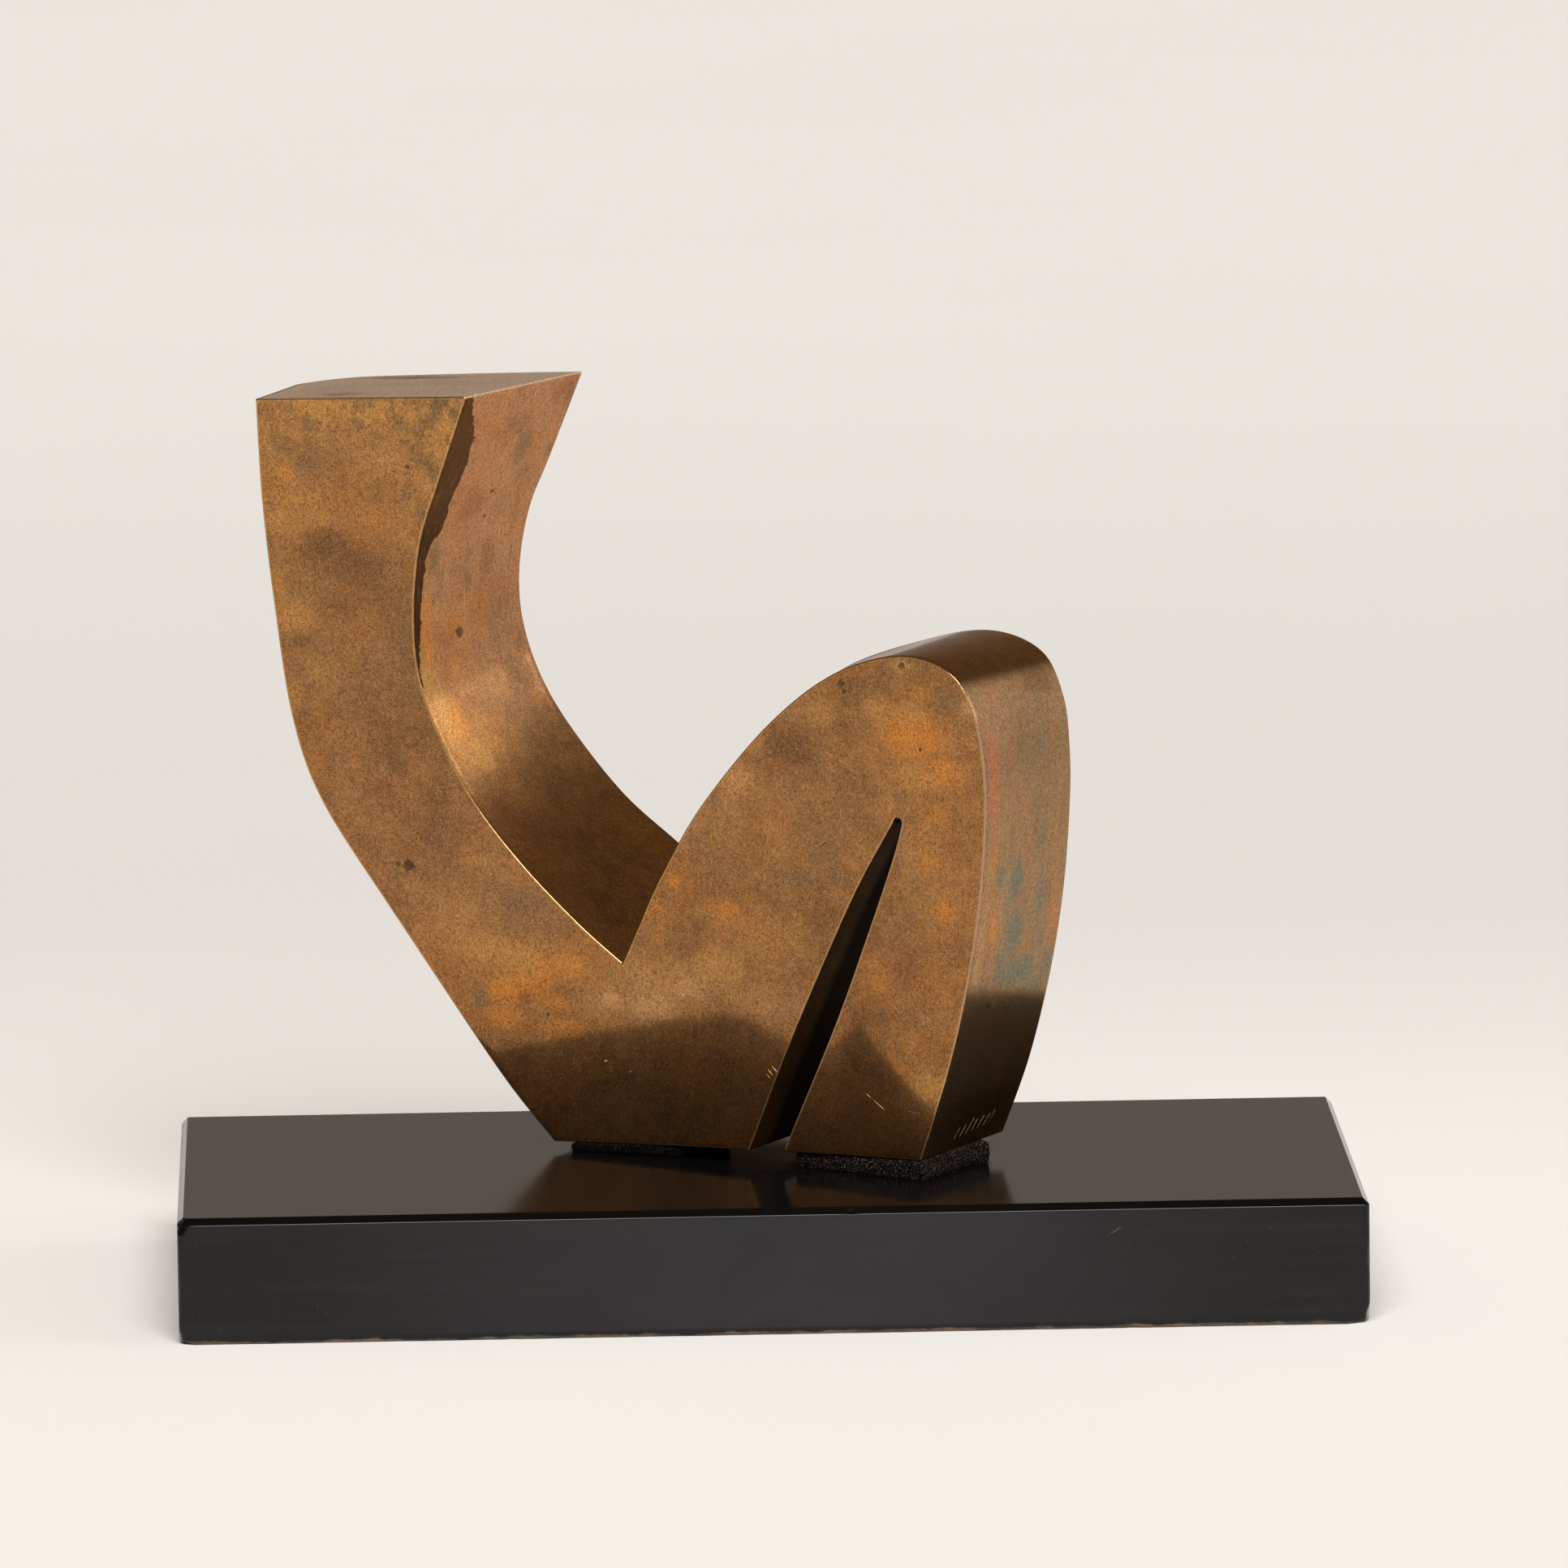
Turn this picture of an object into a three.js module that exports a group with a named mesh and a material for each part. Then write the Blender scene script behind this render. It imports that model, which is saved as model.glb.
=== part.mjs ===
// A seated bather cast in bronze: a leaning torso and two raised legs that share one knee, drawn as one
// outline and cut through from front to back. It stands on two felt pads on a black wooden block.
// Millimetres, +Z up, the viewer stands on the -Y side. The origin is the middle of the block's underside.

import * as THREE from "three";
import { mergeVertices } from "three/addons/utils/BufferGeometryUtils.js";

const BLOCK = {
  length: 280,
  depth: 140,
  height: 30,
  topChamfer: 1.6,
  bottomChamfer: 0.5,
  cornerRadius: 1.2,
};

// Clear space between two pieces that touch.
const GAP = 0.3;

// The figure has its own frame: x along its front from left to right, y into its depth, z up from its
// soles. The frame is turned on the block, and it tips up to the right because the pads differ.
const FIGURE = {
  origin: [1.05, -14.5, 33.78],
  turn: THREE.MathUtils.degToRad(-32),
  tilt: THREE.MathUtils.degToRad(-1.8),
};

// The front face leans forward as it rises and is slightly hollow from side to side.
const FRONT_FACE = { lean: 0.05, bow: 0.0012 };

// The back face swells in the middle.
const BACK_FACE = { depth: 48.8, lean: 0.012, bow: 0.0033, crownX: -21 };

// How far the side walls drift to the left between the front and the back edge.
const SIDE_DRIFT = 2.5;

// Edge radii. The left flank turns into the back in a wide round that narrows towards the foot.
const EDGE = { front: 0.5, back: 0.8, flankTop: 15, flankFoot: 4 };

const LEFT_FOOT = { left: -59.3, right: -6 };
const RIGHT_FOOT = { left: 3, right: 42 };
const SLIT_TIP = { x: 41.2, z: 81.2, radius: 1.2 };
const VALLEY = [-37.6, 44.1, -40.5, 58.5];
const TOP_RIGHT = [-68.9, 180.7, -69.1, 180.5];
const TOP_LEFT = [-124.2, 179.7, -134.5, 179.5];
const FOOT_LEFT = [LEFT_FOOT.left, 0, -62, 0];
const FOOT_RIGHT = [RIGHT_FOOT.right, 0, RIGHT_FOOT.right - SIDE_DRIFT, 0];

// A knot holds x and z on the front face, then x and z on the back face.
const KNOTS = {
  slitLeft: [
    straightBack(LEFT_FOOT.right, 0),
    straightBack(4.7, 21.3),
    straightBack(16.7, 43.5),
    straightBack(28.9, 65),
    straightBack(SLIT_TIP.x - SLIT_TIP.radius, SLIT_TIP.z),
  ],
  slitRight: [
    straightBack(SLIT_TIP.x + SLIT_TIP.radius, SLIT_TIP.z),
    straightBack(39.2, 72.6),
    straightBack(30.8, 54),
    straightBack(19.9, 31.8),
    straightBack(RIGHT_FOOT.left, 0),
  ],
  shin: [
    FOOT_RIGHT,
    [50.4, 19.7, 49, 19],
    [57.5, 40.5, 56.9, 40.5],
    [63, 62, 62.4, 61.5],
    [66.2, 82, 65.6, 82.5],
    [66.8, 96, 66.2, 95.5],
    [64.9, 108, 64.9, 107],
    [59.1, 117.6, 58.7, 117.2],
    [45.5, 121.5, 43.8, 121.3],
    [26.2, 116.5, 24.4, 118.4],
    [6.8, 103.4, -3, 109.2],
    [-12.8, 83.4, -20, 93],
    [-25.3, 65.8, -32, 74],
    [-32.2, 53.8, -37.6, 63.6],
    VALLEY,
  ],
  chest: [
    VALLEY,
    [-48.9, 53.5, -51.1, 66.9],
    [-62.6, 67.4, -63.4, 77.4],
    [-73.9, 81.9, -74.8, 91.5],
    [-81.6, 97, -82.6, 104.6],
    [-86.4, 112, -87, 118.5],
    [-86.9, 127, -87.5, 132],
    [-84, 144.8, -84.4, 146.8],
    [-77.9, 160, -78.2, 160.5],
    TOP_RIGHT,
  ],
  flank: [
    TOP_LEFT,
    [-124.5, 156, -134.8, 156],
    [-123.2, 129, -132.7, 129],
    [-120.6, 102, -129, 102],
    [-114.5, 82, -121.5, 82],
    [-99.9, 57.8, -105.8, 57.8],
    [-83.9, 33.1, -88.1, 33.1],
    [-70.6, 13.7, -73.8, 13.7],
    FOOT_LEFT,
  ],
};

// Corners of the two hand-cut felts, in plan on the block.
const LEFT_FELT = [[-46.1, 11.3], [-20.4, -0.2], [-7.6, 28.4], [-33, 39.6]];
const RIGHT_FELT = [[7, -15.4], [36.3, -38.4], [48.6, -17.1], [53, -14.3], [51, -8.6], [21.6, 10.4]];

const MATERIALS = {
  bronze: finish("bronze", [0.5, 0.33, 0.17], 0.32, 1),
  wood: finish("black_wood", [0.045, 0.042, 0.04], 0.42, 0),
  felt: finish("felt", [0.13, 0.11, 0.1], 0.95, 0),
};

function finish(name, [red, green, blue], roughness, metalness) {
  const color = new THREE.Color().setRGB(red, green, blue);
  return new THREE.MeshStandardMaterial({ name, color, roughness, metalness });
}

// A knot whose wall runs straight to the back with the common drift.
function straightBack(x, z) {
  return [x, z, x - SIDE_DRIFT, z];
}

function frontY(x, z) {
  return -(FRONT_FACE.lean * z + (FRONT_FACE.bow * x * x) / 2);
}

function backY(x, z) {
  const fromCrown = x - BACK_FACE.crownX;
  return BACK_FACE.depth - BACK_FACE.lean * z - (BACK_FACE.bow * fromCrown * fromCrown) / 2;
}

// Samples one stretch of the outline. A stretch leaves out its last point, which starts the next one.
function sampleKnots(knots, steps, backRadius) {
  const curveOf = (first) => {
    const points = knots.map((knot) => new THREE.Vector2(knot[first], knot[first + 1]));
    return points.length > 2 ? new THREE.SplineCurve(points) : new THREE.LineCurve(...points);
  };
  const front = curveOf(0);
  const back = curveOf(2);
  return Array.from({ length: steps }, (_, index) => {
    const along = index / steps;
    return {
      front: front.getPoint(along),
      back: back.getPoint(along),
      backRadius: THREE.MathUtils.lerp(backRadius[0], backRadius[1], along),
    };
  });
}

// The rounded upper end of the slit, from its left wall over the top to its right wall.
function sampleSlitTip(steps) {
  return Array.from({ length: steps }, (_, index) => {
    const angle = Math.PI * (1 - index / steps);
    const x = SLIT_TIP.x + SLIT_TIP.radius * Math.cos(angle);
    const z = SLIT_TIP.z + SLIT_TIP.radius * Math.sin(angle);
    return {
      front: new THREE.Vector2(x, z),
      back: new THREE.Vector2(x - SIDE_DRIFT, z),
      backRadius: EDGE.back,
    };
  });
}

// The figure's outline, counter-clockwise seen from the front.
function figureOutline() {
  const crisp = [EDGE.back, EDGE.back];
  return [
    ...sampleKnots([FOOT_LEFT, straightBack(LEFT_FOOT.right, 0)], 8, crisp),
    ...sampleKnots(KNOTS.slitLeft, 16, crisp),
    ...sampleSlitTip(4),
    ...sampleKnots(KNOTS.slitRight, 16, crisp),
    ...sampleKnots([straightBack(RIGHT_FOOT.left, 0), FOOT_RIGHT], 6, crisp),
    ...sampleKnots(KNOTS.shin, 56, crisp),
    ...sampleKnots(KNOTS.chest, 34, crisp),
    ...sampleKnots([TOP_RIGHT, TOP_LEFT], 4, crisp),
    ...sampleKnots(KNOTS.flank, 28, [EDGE.flankTop, EDGE.flankFoot]),
  ];
}

// Moves a closed outline inwards, each of its sides by that side's own distance.
function insetOutline(points, distances) {
  const count = points.length;
  const sides = points.map((point, index) => {
    const along = new THREE.Vector2().subVectors(points[(index + 1) % count], point).normalize();
    return { inward: new THREE.Vector2(-along.y, along.x), distance: distances[index] };
  });
  return points.map((point, index) => {
    const before = sides[(index + count - 1) % count];
    const after = sides[index];
    const sine = before.inward.cross(after.inward);
    if (Math.abs(sine) < 0.3) {
      const middle = new THREE.Vector2().addVectors(before.inward, after.inward).normalize();
      return point.clone().addScaledVector(middle, (before.distance + after.distance) / 2);
    }
    const shift = new THREE.Vector2(
      (before.distance * after.inward.y - after.distance * before.inward.y) / sine,
      (after.distance * before.inward.x - before.distance * after.inward.x) / sine,
    );
    return point.clone().add(shift);
  });
}

// One ring of the figure's wall: a point for each outline sample, depth measured from front or back.
function wallRing(outline, place) {
  const placed = outline.map(place);
  const flat = outline.map((sample, index) => {
    return new THREE.Vector2().lerpVectors(sample.front, sample.back, placed[index].share);
  });
  const inset = insetOutline(flat, placed.map((spot) => spot.inset));
  return inset.map((point, index) => {
    const y = THREE.MathUtils.lerp(frontY(point.x, point.y), backY(point.x, point.y), placed[index].share);
    return new THREE.Vector3(point.x, y, point.y);
  });
}

function wallLength(sample) {
  const start = new THREE.Vector3(sample.front.x, frontY(sample.front.x, sample.front.y), sample.front.y);
  const end = new THREE.Vector3(sample.back.x, backY(sample.back.x, sample.back.y), sample.back.y);
  return start.distanceTo(end);
}

// Rings from the front edge's round over the wall to the back edge's round.
function figureRings(outline) {
  const frontSteps = 2;
  const wallSteps = 4;
  const backSteps = 4;
  const rings = [];
  for (let step = 0; step <= frontSteps; step++) {
    const angle = (Math.PI / 2) * (step / frontSteps);
    rings.push(wallRing(outline, (sample) => ({
      share: (EDGE.front * (1 - Math.cos(angle))) / wallLength(sample),
      inset: EDGE.front * (1 - Math.sin(angle)),
    })));
  }
  for (let step = 1; step < wallSteps; step++) {
    rings.push(wallRing(outline, (sample) => {
      const straight = wallLength(sample) - EDGE.front - sample.backRadius;
      return { share: (EDGE.front + (straight * step) / wallSteps) / wallLength(sample), inset: 0 };
    }));
  }
  for (let step = 0; step <= backSteps; step++) {
    const angle = (Math.PI / 2) * (step / backSteps);
    rings.push(wallRing(outline, (sample) => ({
      share: 1 - (sample.backRadius * (1 - Math.sin(angle))) / wallLength(sample),
      inset: sample.backRadius * (1 - Math.cos(angle)),
    })));
  }
  return rings;
}

// True where the point lies inside the triangle, whose corners run counter-clockwise.
function isInside(point, a, b, c) {
  const isLeftOf = (from, to) => {
    const along = new THREE.Vector2().subVectors(to, from);
    return along.cross(new THREE.Vector2().subVectors(point, from)) > 0;
  };
  return isLeftOf(a, b) && isLeftOf(b, c) && isLeftOf(c, a);
}

// True where d lies inside the circle through a, b and c.
function isInCircle(a, b, c, d) {
  const rows = [a, b, c].map((corner) => {
    const x = corner.x - d.x;
    const y = corner.y - d.y;
    return [x, y, x * x + y * y];
  });
  return new THREE.Matrix3().set(...rows.flat()).determinant() > 1e-6;
}

// Swaps the diagonal of two neighbouring triangles wherever that gives rounder ones.
function swapDiagonals(points, triangles) {
  const maximumPasses = 80;
  for (let pass = 0; pass < maximumPasses; pass++) {
    const owners = new Map();
    const touched = new Set();
    let swaps = 0;
    triangles.forEach((triangle, index) => {
      for (let side = 0; side < 3; side++) {
        const [a, b, c] = [triangle[side], triangle[(side + 1) % 3], triangle[(side + 2) % 3]];
        const twin = owners.get(`${b},${a}`);
        owners.set(`${a},${b}`, { index, opposite: c });
        const canSwap = twin && !touched.has(index) && !touched.has(twin.index);
        if (!canSwap || !isInCircle(points[a], points[b], points[c], points[twin.opposite])) continue;
        triangles[index] = [a, twin.opposite, c];
        triangles[twin.index] = [twin.opposite, b, c];
        touched.add(index).add(twin.index);
        swaps += 1;
        break;
      }
    });
    if (swaps === 0) return;
  }
}

// Triangles of a curved face: a flat outline in x and z, filled with points on a grid, then bent.
function faceTriangles(ring, surfaceY, spacing) {
  const points = ring.map((point) => new THREE.Vector2(point.x, point.z));
  // A trace of curvature keeps the points along a straight edge apart for the triangulation.
  const bulge = 1e-6;
  const curved = points.map((point) => new THREE.Vector2(point.x, point.y + bulge * point.x * point.x));
  const triangles = THREE.ShapeUtils.triangulateShape(curved, []);
  const bounds = new THREE.Box2().setFromPoints(points);
  for (let x = bounds.min.x + spacing / 3; x < bounds.max.x; x += spacing) {
    for (let z = bounds.min.y + spacing / 3; z < bounds.max.y; z += spacing) {
      const point = new THREE.Vector2(x, z);
      const home = triangles.findIndex(([a, b, c]) => isInside(point, points[a], points[b], points[c]));
      const clearance = Math.min(...ring.map((corner) => Math.hypot(corner.x - x, corner.z - z)));
      if (home < 0 || clearance < spacing / 2) continue;
      const added = points.push(point) - 1;
      const [a, b, c] = triangles[home];
      triangles.splice(home, 1, [a, b, added], [b, c, added], [c, a, added]);
    }
  }
  swapDiagonals(points, triangles);
  return triangles.flat().map((index) => {
    const { x, y: z } = points[index];
    return new THREE.Vector3(x, surfaceY(x, z), z);
  });
}

function closedGeometry(points) {
  const geometry = new THREE.BufferGeometry().setFromPoints(points);
  const merged = mergeVertices(geometry, 1e-3);
  merged.computeVertexNormals();
  return merged;
}

// Triangles between two rings. The first ring is nearer to the side that outward faces turn towards.
function bandTriangles(near, far) {
  return near.flatMap((point, index) => {
    const next = (index + 1) % near.length;
    return [point, far[index], near[next], near[next], far[index], far[next]];
  });
}

function makeFigure() {
  const faceSpacing = 9;
  const rings = figureRings(figureOutline());
  const walls = rings.slice(1).flatMap((ring, index) => bandTriangles(rings[index], ring));
  const front = faceTriangles(rings[0], frontY, faceSpacing);
  const back = faceTriangles(rings[rings.length - 1], backY, faceSpacing);
  const turnedBack = [];
  for (let index = 0; index < back.length; index += 3) {
    turnedBack.push(back[index], back[index + 2], back[index + 1]);
  }
  const mesh = new THREE.Mesh(closedGeometry([...front, ...walls, ...turnedBack]), MATERIALS.bronze);
  mesh.name = "bronze_bather";
  return mesh;
}

// Corners of a rectangle with rounded corners at one height, counter-clockwise seen from above.
function blockRing(height, inset) {
  const cornerSteps = 3;
  const points = [];
  for (let quarter = 0; quarter < 4; quarter++) {
    const signX = quarter === 0 || quarter === 3 ? 1 : -1;
    const signY = quarter < 2 ? 1 : -1;
    const centreX = signX * (BLOCK.length / 2 - inset - BLOCK.cornerRadius);
    const centreY = signY * (BLOCK.depth / 2 - inset - BLOCK.cornerRadius);
    for (let step = 0; step <= cornerSteps; step++) {
      const angle = (Math.PI / 2) * (quarter + step / cornerSteps);
      const x = centreX + BLOCK.cornerRadius * Math.cos(angle);
      const y = centreY + BLOCK.cornerRadius * Math.sin(angle);
      points.push(new THREE.Vector3(x, y, height));
    }
  }
  return points;
}

// A closed solid from level outlines that are stacked from the bottom up.
function stackedSolid(rings) {
  const contour = rings[0].map((point) => new THREE.Vector2(point.x, point.y));
  const corners = THREE.ShapeUtils.triangulateShape(contour, []);
  const bottom = corners.flatMap(([a, b, c]) => [rings[0][a], rings[0][c], rings[0][b]]);
  const lastRing = rings[rings.length - 1];
  const top = corners.flatMap(([a, b, c]) => [lastRing[a], lastRing[b], lastRing[c]]);
  const walls = rings.slice(1).flatMap((ring, index) => bandTriangles(ring, rings[index]));
  return closedGeometry([...bottom, ...walls, ...top]);
}

function makeBlock() {
  const rings = [
    blockRing(0, BLOCK.bottomChamfer),
    blockRing(BLOCK.bottomChamfer, 0),
    blockRing(BLOCK.height - BLOCK.topChamfer, 0),
    blockRing(BLOCK.height, BLOCK.topChamfer),
  ];
  const mesh = new THREE.Mesh(stackedSolid(rings), MATERIALS.wood);
  mesh.name = "wood_base";
  return mesh;
}

// A felt squeezed between the block and the tilted sole above it.
function makeFelt(name, corners, figure) {
  const soleUp = new THREE.Vector3(0, 0, 1).applyEuler(figure.rotation);
  const soleHeight = (x, y) => {
    const across = soleUp.x * (x - figure.position.x) + soleUp.y * (y - figure.position.y);
    return figure.position.z - across / soleUp.z;
  };
  const bottom = corners.map(([x, y]) => new THREE.Vector3(x, y, BLOCK.height + GAP));
  const top = corners.map(([x, y]) => new THREE.Vector3(x, y, soleHeight(x, y) - GAP));
  const mesh = new THREE.Mesh(stackedSolid([bottom, top]), MATERIALS.felt);
  mesh.name = name;
  return mesh;
}

const sculpture = new THREE.Group();

const figure = new THREE.Group();
figure.position.set(...FIGURE.origin);
figure.rotation.set(0, FIGURE.tilt, FIGURE.turn, "ZYX");
figure.add(makeFigure());

sculpture.add(makeBlock());
sculpture.add(makeFelt("felt_pad_left", LEFT_FELT, figure));
sculpture.add(makeFelt("felt_pad_right", RIGHT_FELT, figure));
sculpture.add(figure);

export default sculpture;
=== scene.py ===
"""A worn bronze bather on a black wooden block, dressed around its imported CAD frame.

The figure, the block and the two felts are built here as fine meshes from the same outlines as
the CAD solids, and get procedural finishes. Shapes are in millimetres until a mesh is made, and
finishes are in metres.
"""

import logging
import math
import random
from collections.abc import Sequence
from dataclasses import dataclass, field
from enum import Enum, IntEnum

import bmesh
import bpy
import numpy as np
from mathutils import Matrix, Vector
from mathutils.geometry import delaunay_2d_cdt

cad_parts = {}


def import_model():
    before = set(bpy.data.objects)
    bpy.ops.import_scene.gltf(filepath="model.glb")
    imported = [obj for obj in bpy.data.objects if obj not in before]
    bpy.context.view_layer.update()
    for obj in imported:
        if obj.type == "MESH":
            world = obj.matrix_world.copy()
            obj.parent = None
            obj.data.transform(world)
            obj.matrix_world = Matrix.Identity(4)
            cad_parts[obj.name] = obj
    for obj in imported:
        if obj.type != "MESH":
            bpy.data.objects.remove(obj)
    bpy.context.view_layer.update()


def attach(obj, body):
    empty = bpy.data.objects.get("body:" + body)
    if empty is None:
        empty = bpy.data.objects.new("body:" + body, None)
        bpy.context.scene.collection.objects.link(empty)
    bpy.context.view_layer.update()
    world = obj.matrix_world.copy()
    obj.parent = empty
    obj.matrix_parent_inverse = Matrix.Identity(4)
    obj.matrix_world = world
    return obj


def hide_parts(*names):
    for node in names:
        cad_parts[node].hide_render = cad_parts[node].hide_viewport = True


LOG = logging.getLogger("bather")
MM = 0.001
# How far a straight wall of the figure drifts to the left through its whole depth.
DRIFT = 2.5
IMAGE_SIDE = 1932

Socket = bpy.types.NodeSocket
Node = bpy.types.Node
Material = bpy.types.Material
Piece = bpy.types.Object
Axes = tuple[float, float, float]
Colour = tuple[float, float, float]
Point2 = tuple[float, float]
# x and z on the front edge, x and z on the back edge.
Knot = tuple[float, float, float, float]
# Centre, half width and half height on a face, and strength.
Patch = tuple[float, float, float, float, float]
# Both ends on a face, and the width.
Stroke = tuple[float, float, float, float, float]
Faces = list[tuple[int, ...]]

EVEN: Axes = (1.0, 1.0, 1.0)
UNTURNED: Axes = (0.0, 0.0, 0.0)


class Slot(Enum):
    """The record's material slots."""

    BRONZE = "bronze"
    BLACK_WOOD = "black_wood"
    FELT = "felt"


class Tint(Enum):
    """The colours that a stain can have, in the order that they are laid."""

    RUST = "rust"
    SLATE = "slate"
    OLIVE = "olive"
    ORANGE = "orange"
    OCHRE = "ochre"
    ROSE = "rose"
    VERDIGRIS = "verdigris"
    SMOKE = "smoke"
    PALE = "pale"


class Place(Enum):
    """Which face of the figure a mark lies on."""

    FRONT = "front"
    CHEST = "chest"
    SHIN = "shin"
    CROWN = "crown"


class NodeSheet:
    """A node tree with short calls that add and link its nodes."""

    def __init__(self, tree: bpy.types.NodeTree) -> None:
        """Start with the tree of a material, a group or the surroundings."""
        self.tree = tree

    def node(self, kind: str, inputs: dict | None = None, **settings: object) -> Node:
        """Add a node, set its properties and fill or link its inputs.

        Args:
            kind: Blender's node type name.
            inputs: Input name or index to a value or to the socket that feeds it.
            **settings: Properties of the node.

        Returns:
            The new node.
        """
        made = self.tree.nodes.new(kind)
        for name, value in settings.items():
            setattr(made, name, value)
        for key, value in (inputs or {}).items():
            self.feed(made.inputs[key], value)
        return made

    def feed(self, target: Socket, value: object) -> None:
        """Link a socket to an input, or set the input's value.

        Args:
            target: The input.
            value: A socket, a number or a tuple.
        """
        if isinstance(value, bpy.types.NodeSocket):
            self.tree.links.new(value, target)
        elif target.type == "RGBA" and len(value) == 3:
            target.default_value = (*value, 1.0)
        else:
            target.default_value = value

    def math(self, operation: str, first: object, second: object = 0.0, clamp: bool = False) -> Socket:
        """Add a math node with one or two operands, which may be numbers or sockets."""
        made = self.node("ShaderNodeMath", {0: first, 1: second}, operation=operation, use_clamp=clamp)
        return made.outputs[0]

    def times(self, first: object, second: object, clamp: bool = False) -> Socket:
        """Multiply two values."""
        return self.math("MULTIPLY", first, second, clamp)

    def plus(self, first: object, second: object, clamp: bool = False) -> Socket:
        """Add two values."""
        return self.math("ADD", first, second, clamp)

    def minus(self, first: object, second: object) -> Socket:
        """Take the second value from the first."""
        return self.math("SUBTRACT", first, second)

    def inverse(self, mask: object) -> Socket:
        """Turn a mask around, so that 0 becomes 1."""
        return self.minus(1.0, mask)

    def size(self, value: object) -> Socket:
        """Drop a value's sign."""
        return self.math("ABSOLUTE", value)

    def ramp(self, value: object, low: object, high: object) -> Socket:
        """Turn a value into a mask that rises smoothly from 0 at low to 1 at high."""
        inputs = {"Value": value, "From Min": low, "From Max": high}
        made = self.node("ShaderNodeMapRange", inputs, interpolation_type="SMOOTHSTEP", clamp=True)
        return made.outputs[0]

    def spread(self, value: object, found: Point2, wanted: Point2) -> Socket:
        """Carry a value evenly from the range found to the range wanted."""
        ends = {"From Min": found[0], "From Max": found[1], "To Min": wanted[0], "To Max": wanted[1]}
        return self.node("ShaderNodeMapRange", {"Value": value, **ends}).outputs[0]

    def blend(self, mask: object, below: object, above: object, mode: str = "MIX") -> Socket:
        """Lay one colour over another through a mask.

        Args:
            mask: Share of the upper colour.
            below: Lower colour.
            above: Upper colour.
            mode: Blend mode.

        Returns:
            The mixed colour's socket.
        """
        made = self.node("ShaderNodeMix", data_type="RGBA", blend_type=mode)
        for index, value in ((0, mask), (6, below), (7, above)):
            self.feed(made.inputs[index], value)
        return made.outputs[2]

    def lay(self, below: object, above: object, mask: object, share: float) -> Socket:
        """Lay one colour over another through a mask that covers by a share at most."""
        return self.blend(self.times(mask, share), below, above)

    def noise(self, position: object, scale: object, detail: float = 3.0, rough: float = 0.55) -> Socket:
        """Add a noise with its cells per metre, its octaves and the strength of the finer ones."""
        inputs = {"Vector": position, "Scale": scale, "Detail": detail, "Roughness": rough}
        return self.node("ShaderNodeTexNoise", inputs).outputs[0]

    def vector(self, operation: str, first: object, second: object) -> Node:
        """Add a vector math node."""
        return self.node("ShaderNodeVectorMath", {0: first, 1: second}, operation=operation)

    def axes(self, position: Socket) -> list[Socket]:
        """Part a position into its three numbers."""
        return list(self.node("ShaderNodeSeparateXYZ", {0: position}).outputs)

    def group(self, tree: bpy.types.NodeTree, **inputs: object) -> Socket:
        """Place a node group.

        Args:
            tree: The group.
            **inputs: Its inputs by name, with underscores for spaces.

        Returns:
            Its output.
        """
        named = {name.replace("_", " "): value for name, value in inputs.items()}
        made = self.node("ShaderNodeGroup", node_tree=tree)
        for name, value in named.items():
            self.feed(made.inputs[name], value)
        return made.outputs[0]


class EffectSheet(NodeSheet):
    """A new shader node group with one output, a mask."""

    def __init__(self, name: str, **inputs: float | None) -> None:
        """Start the group.

        Args:
            name: The group's name.
            **inputs: Its inputs, with underscores for spaces, each with its usual number, or with
                nothing where the input is a vector.
        """
        super().__init__(bpy.data.node_groups.new(name, "ShaderNodeTree"))
        titles = [name.replace("_", " ") for name in inputs]
        for title, usual in zip(titles, inputs.values()):
            kind = "Vector" if usual is None else "Float"
            made = self.tree.interface.new_socket(title, in_out="INPUT", socket_type=f"NodeSocket{kind}")
            if usual is not None:
                made.default_value = usual
        self.tree.interface.new_socket("Mask", in_out="OUTPUT", socket_type="NodeSocketFloat")
        start = self.tree.nodes.new("NodeGroupInput")
        self.given = [start.outputs[title] for title in titles]
        self.end = self.tree.nodes.new("NodeGroupOutput").inputs[0]

    def close(self, mask: Socket) -> bpy.types.NodeTree:
        """Feed the output and hand over the group."""
        self.feed(self.end, mask)
        return self.tree


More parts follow.
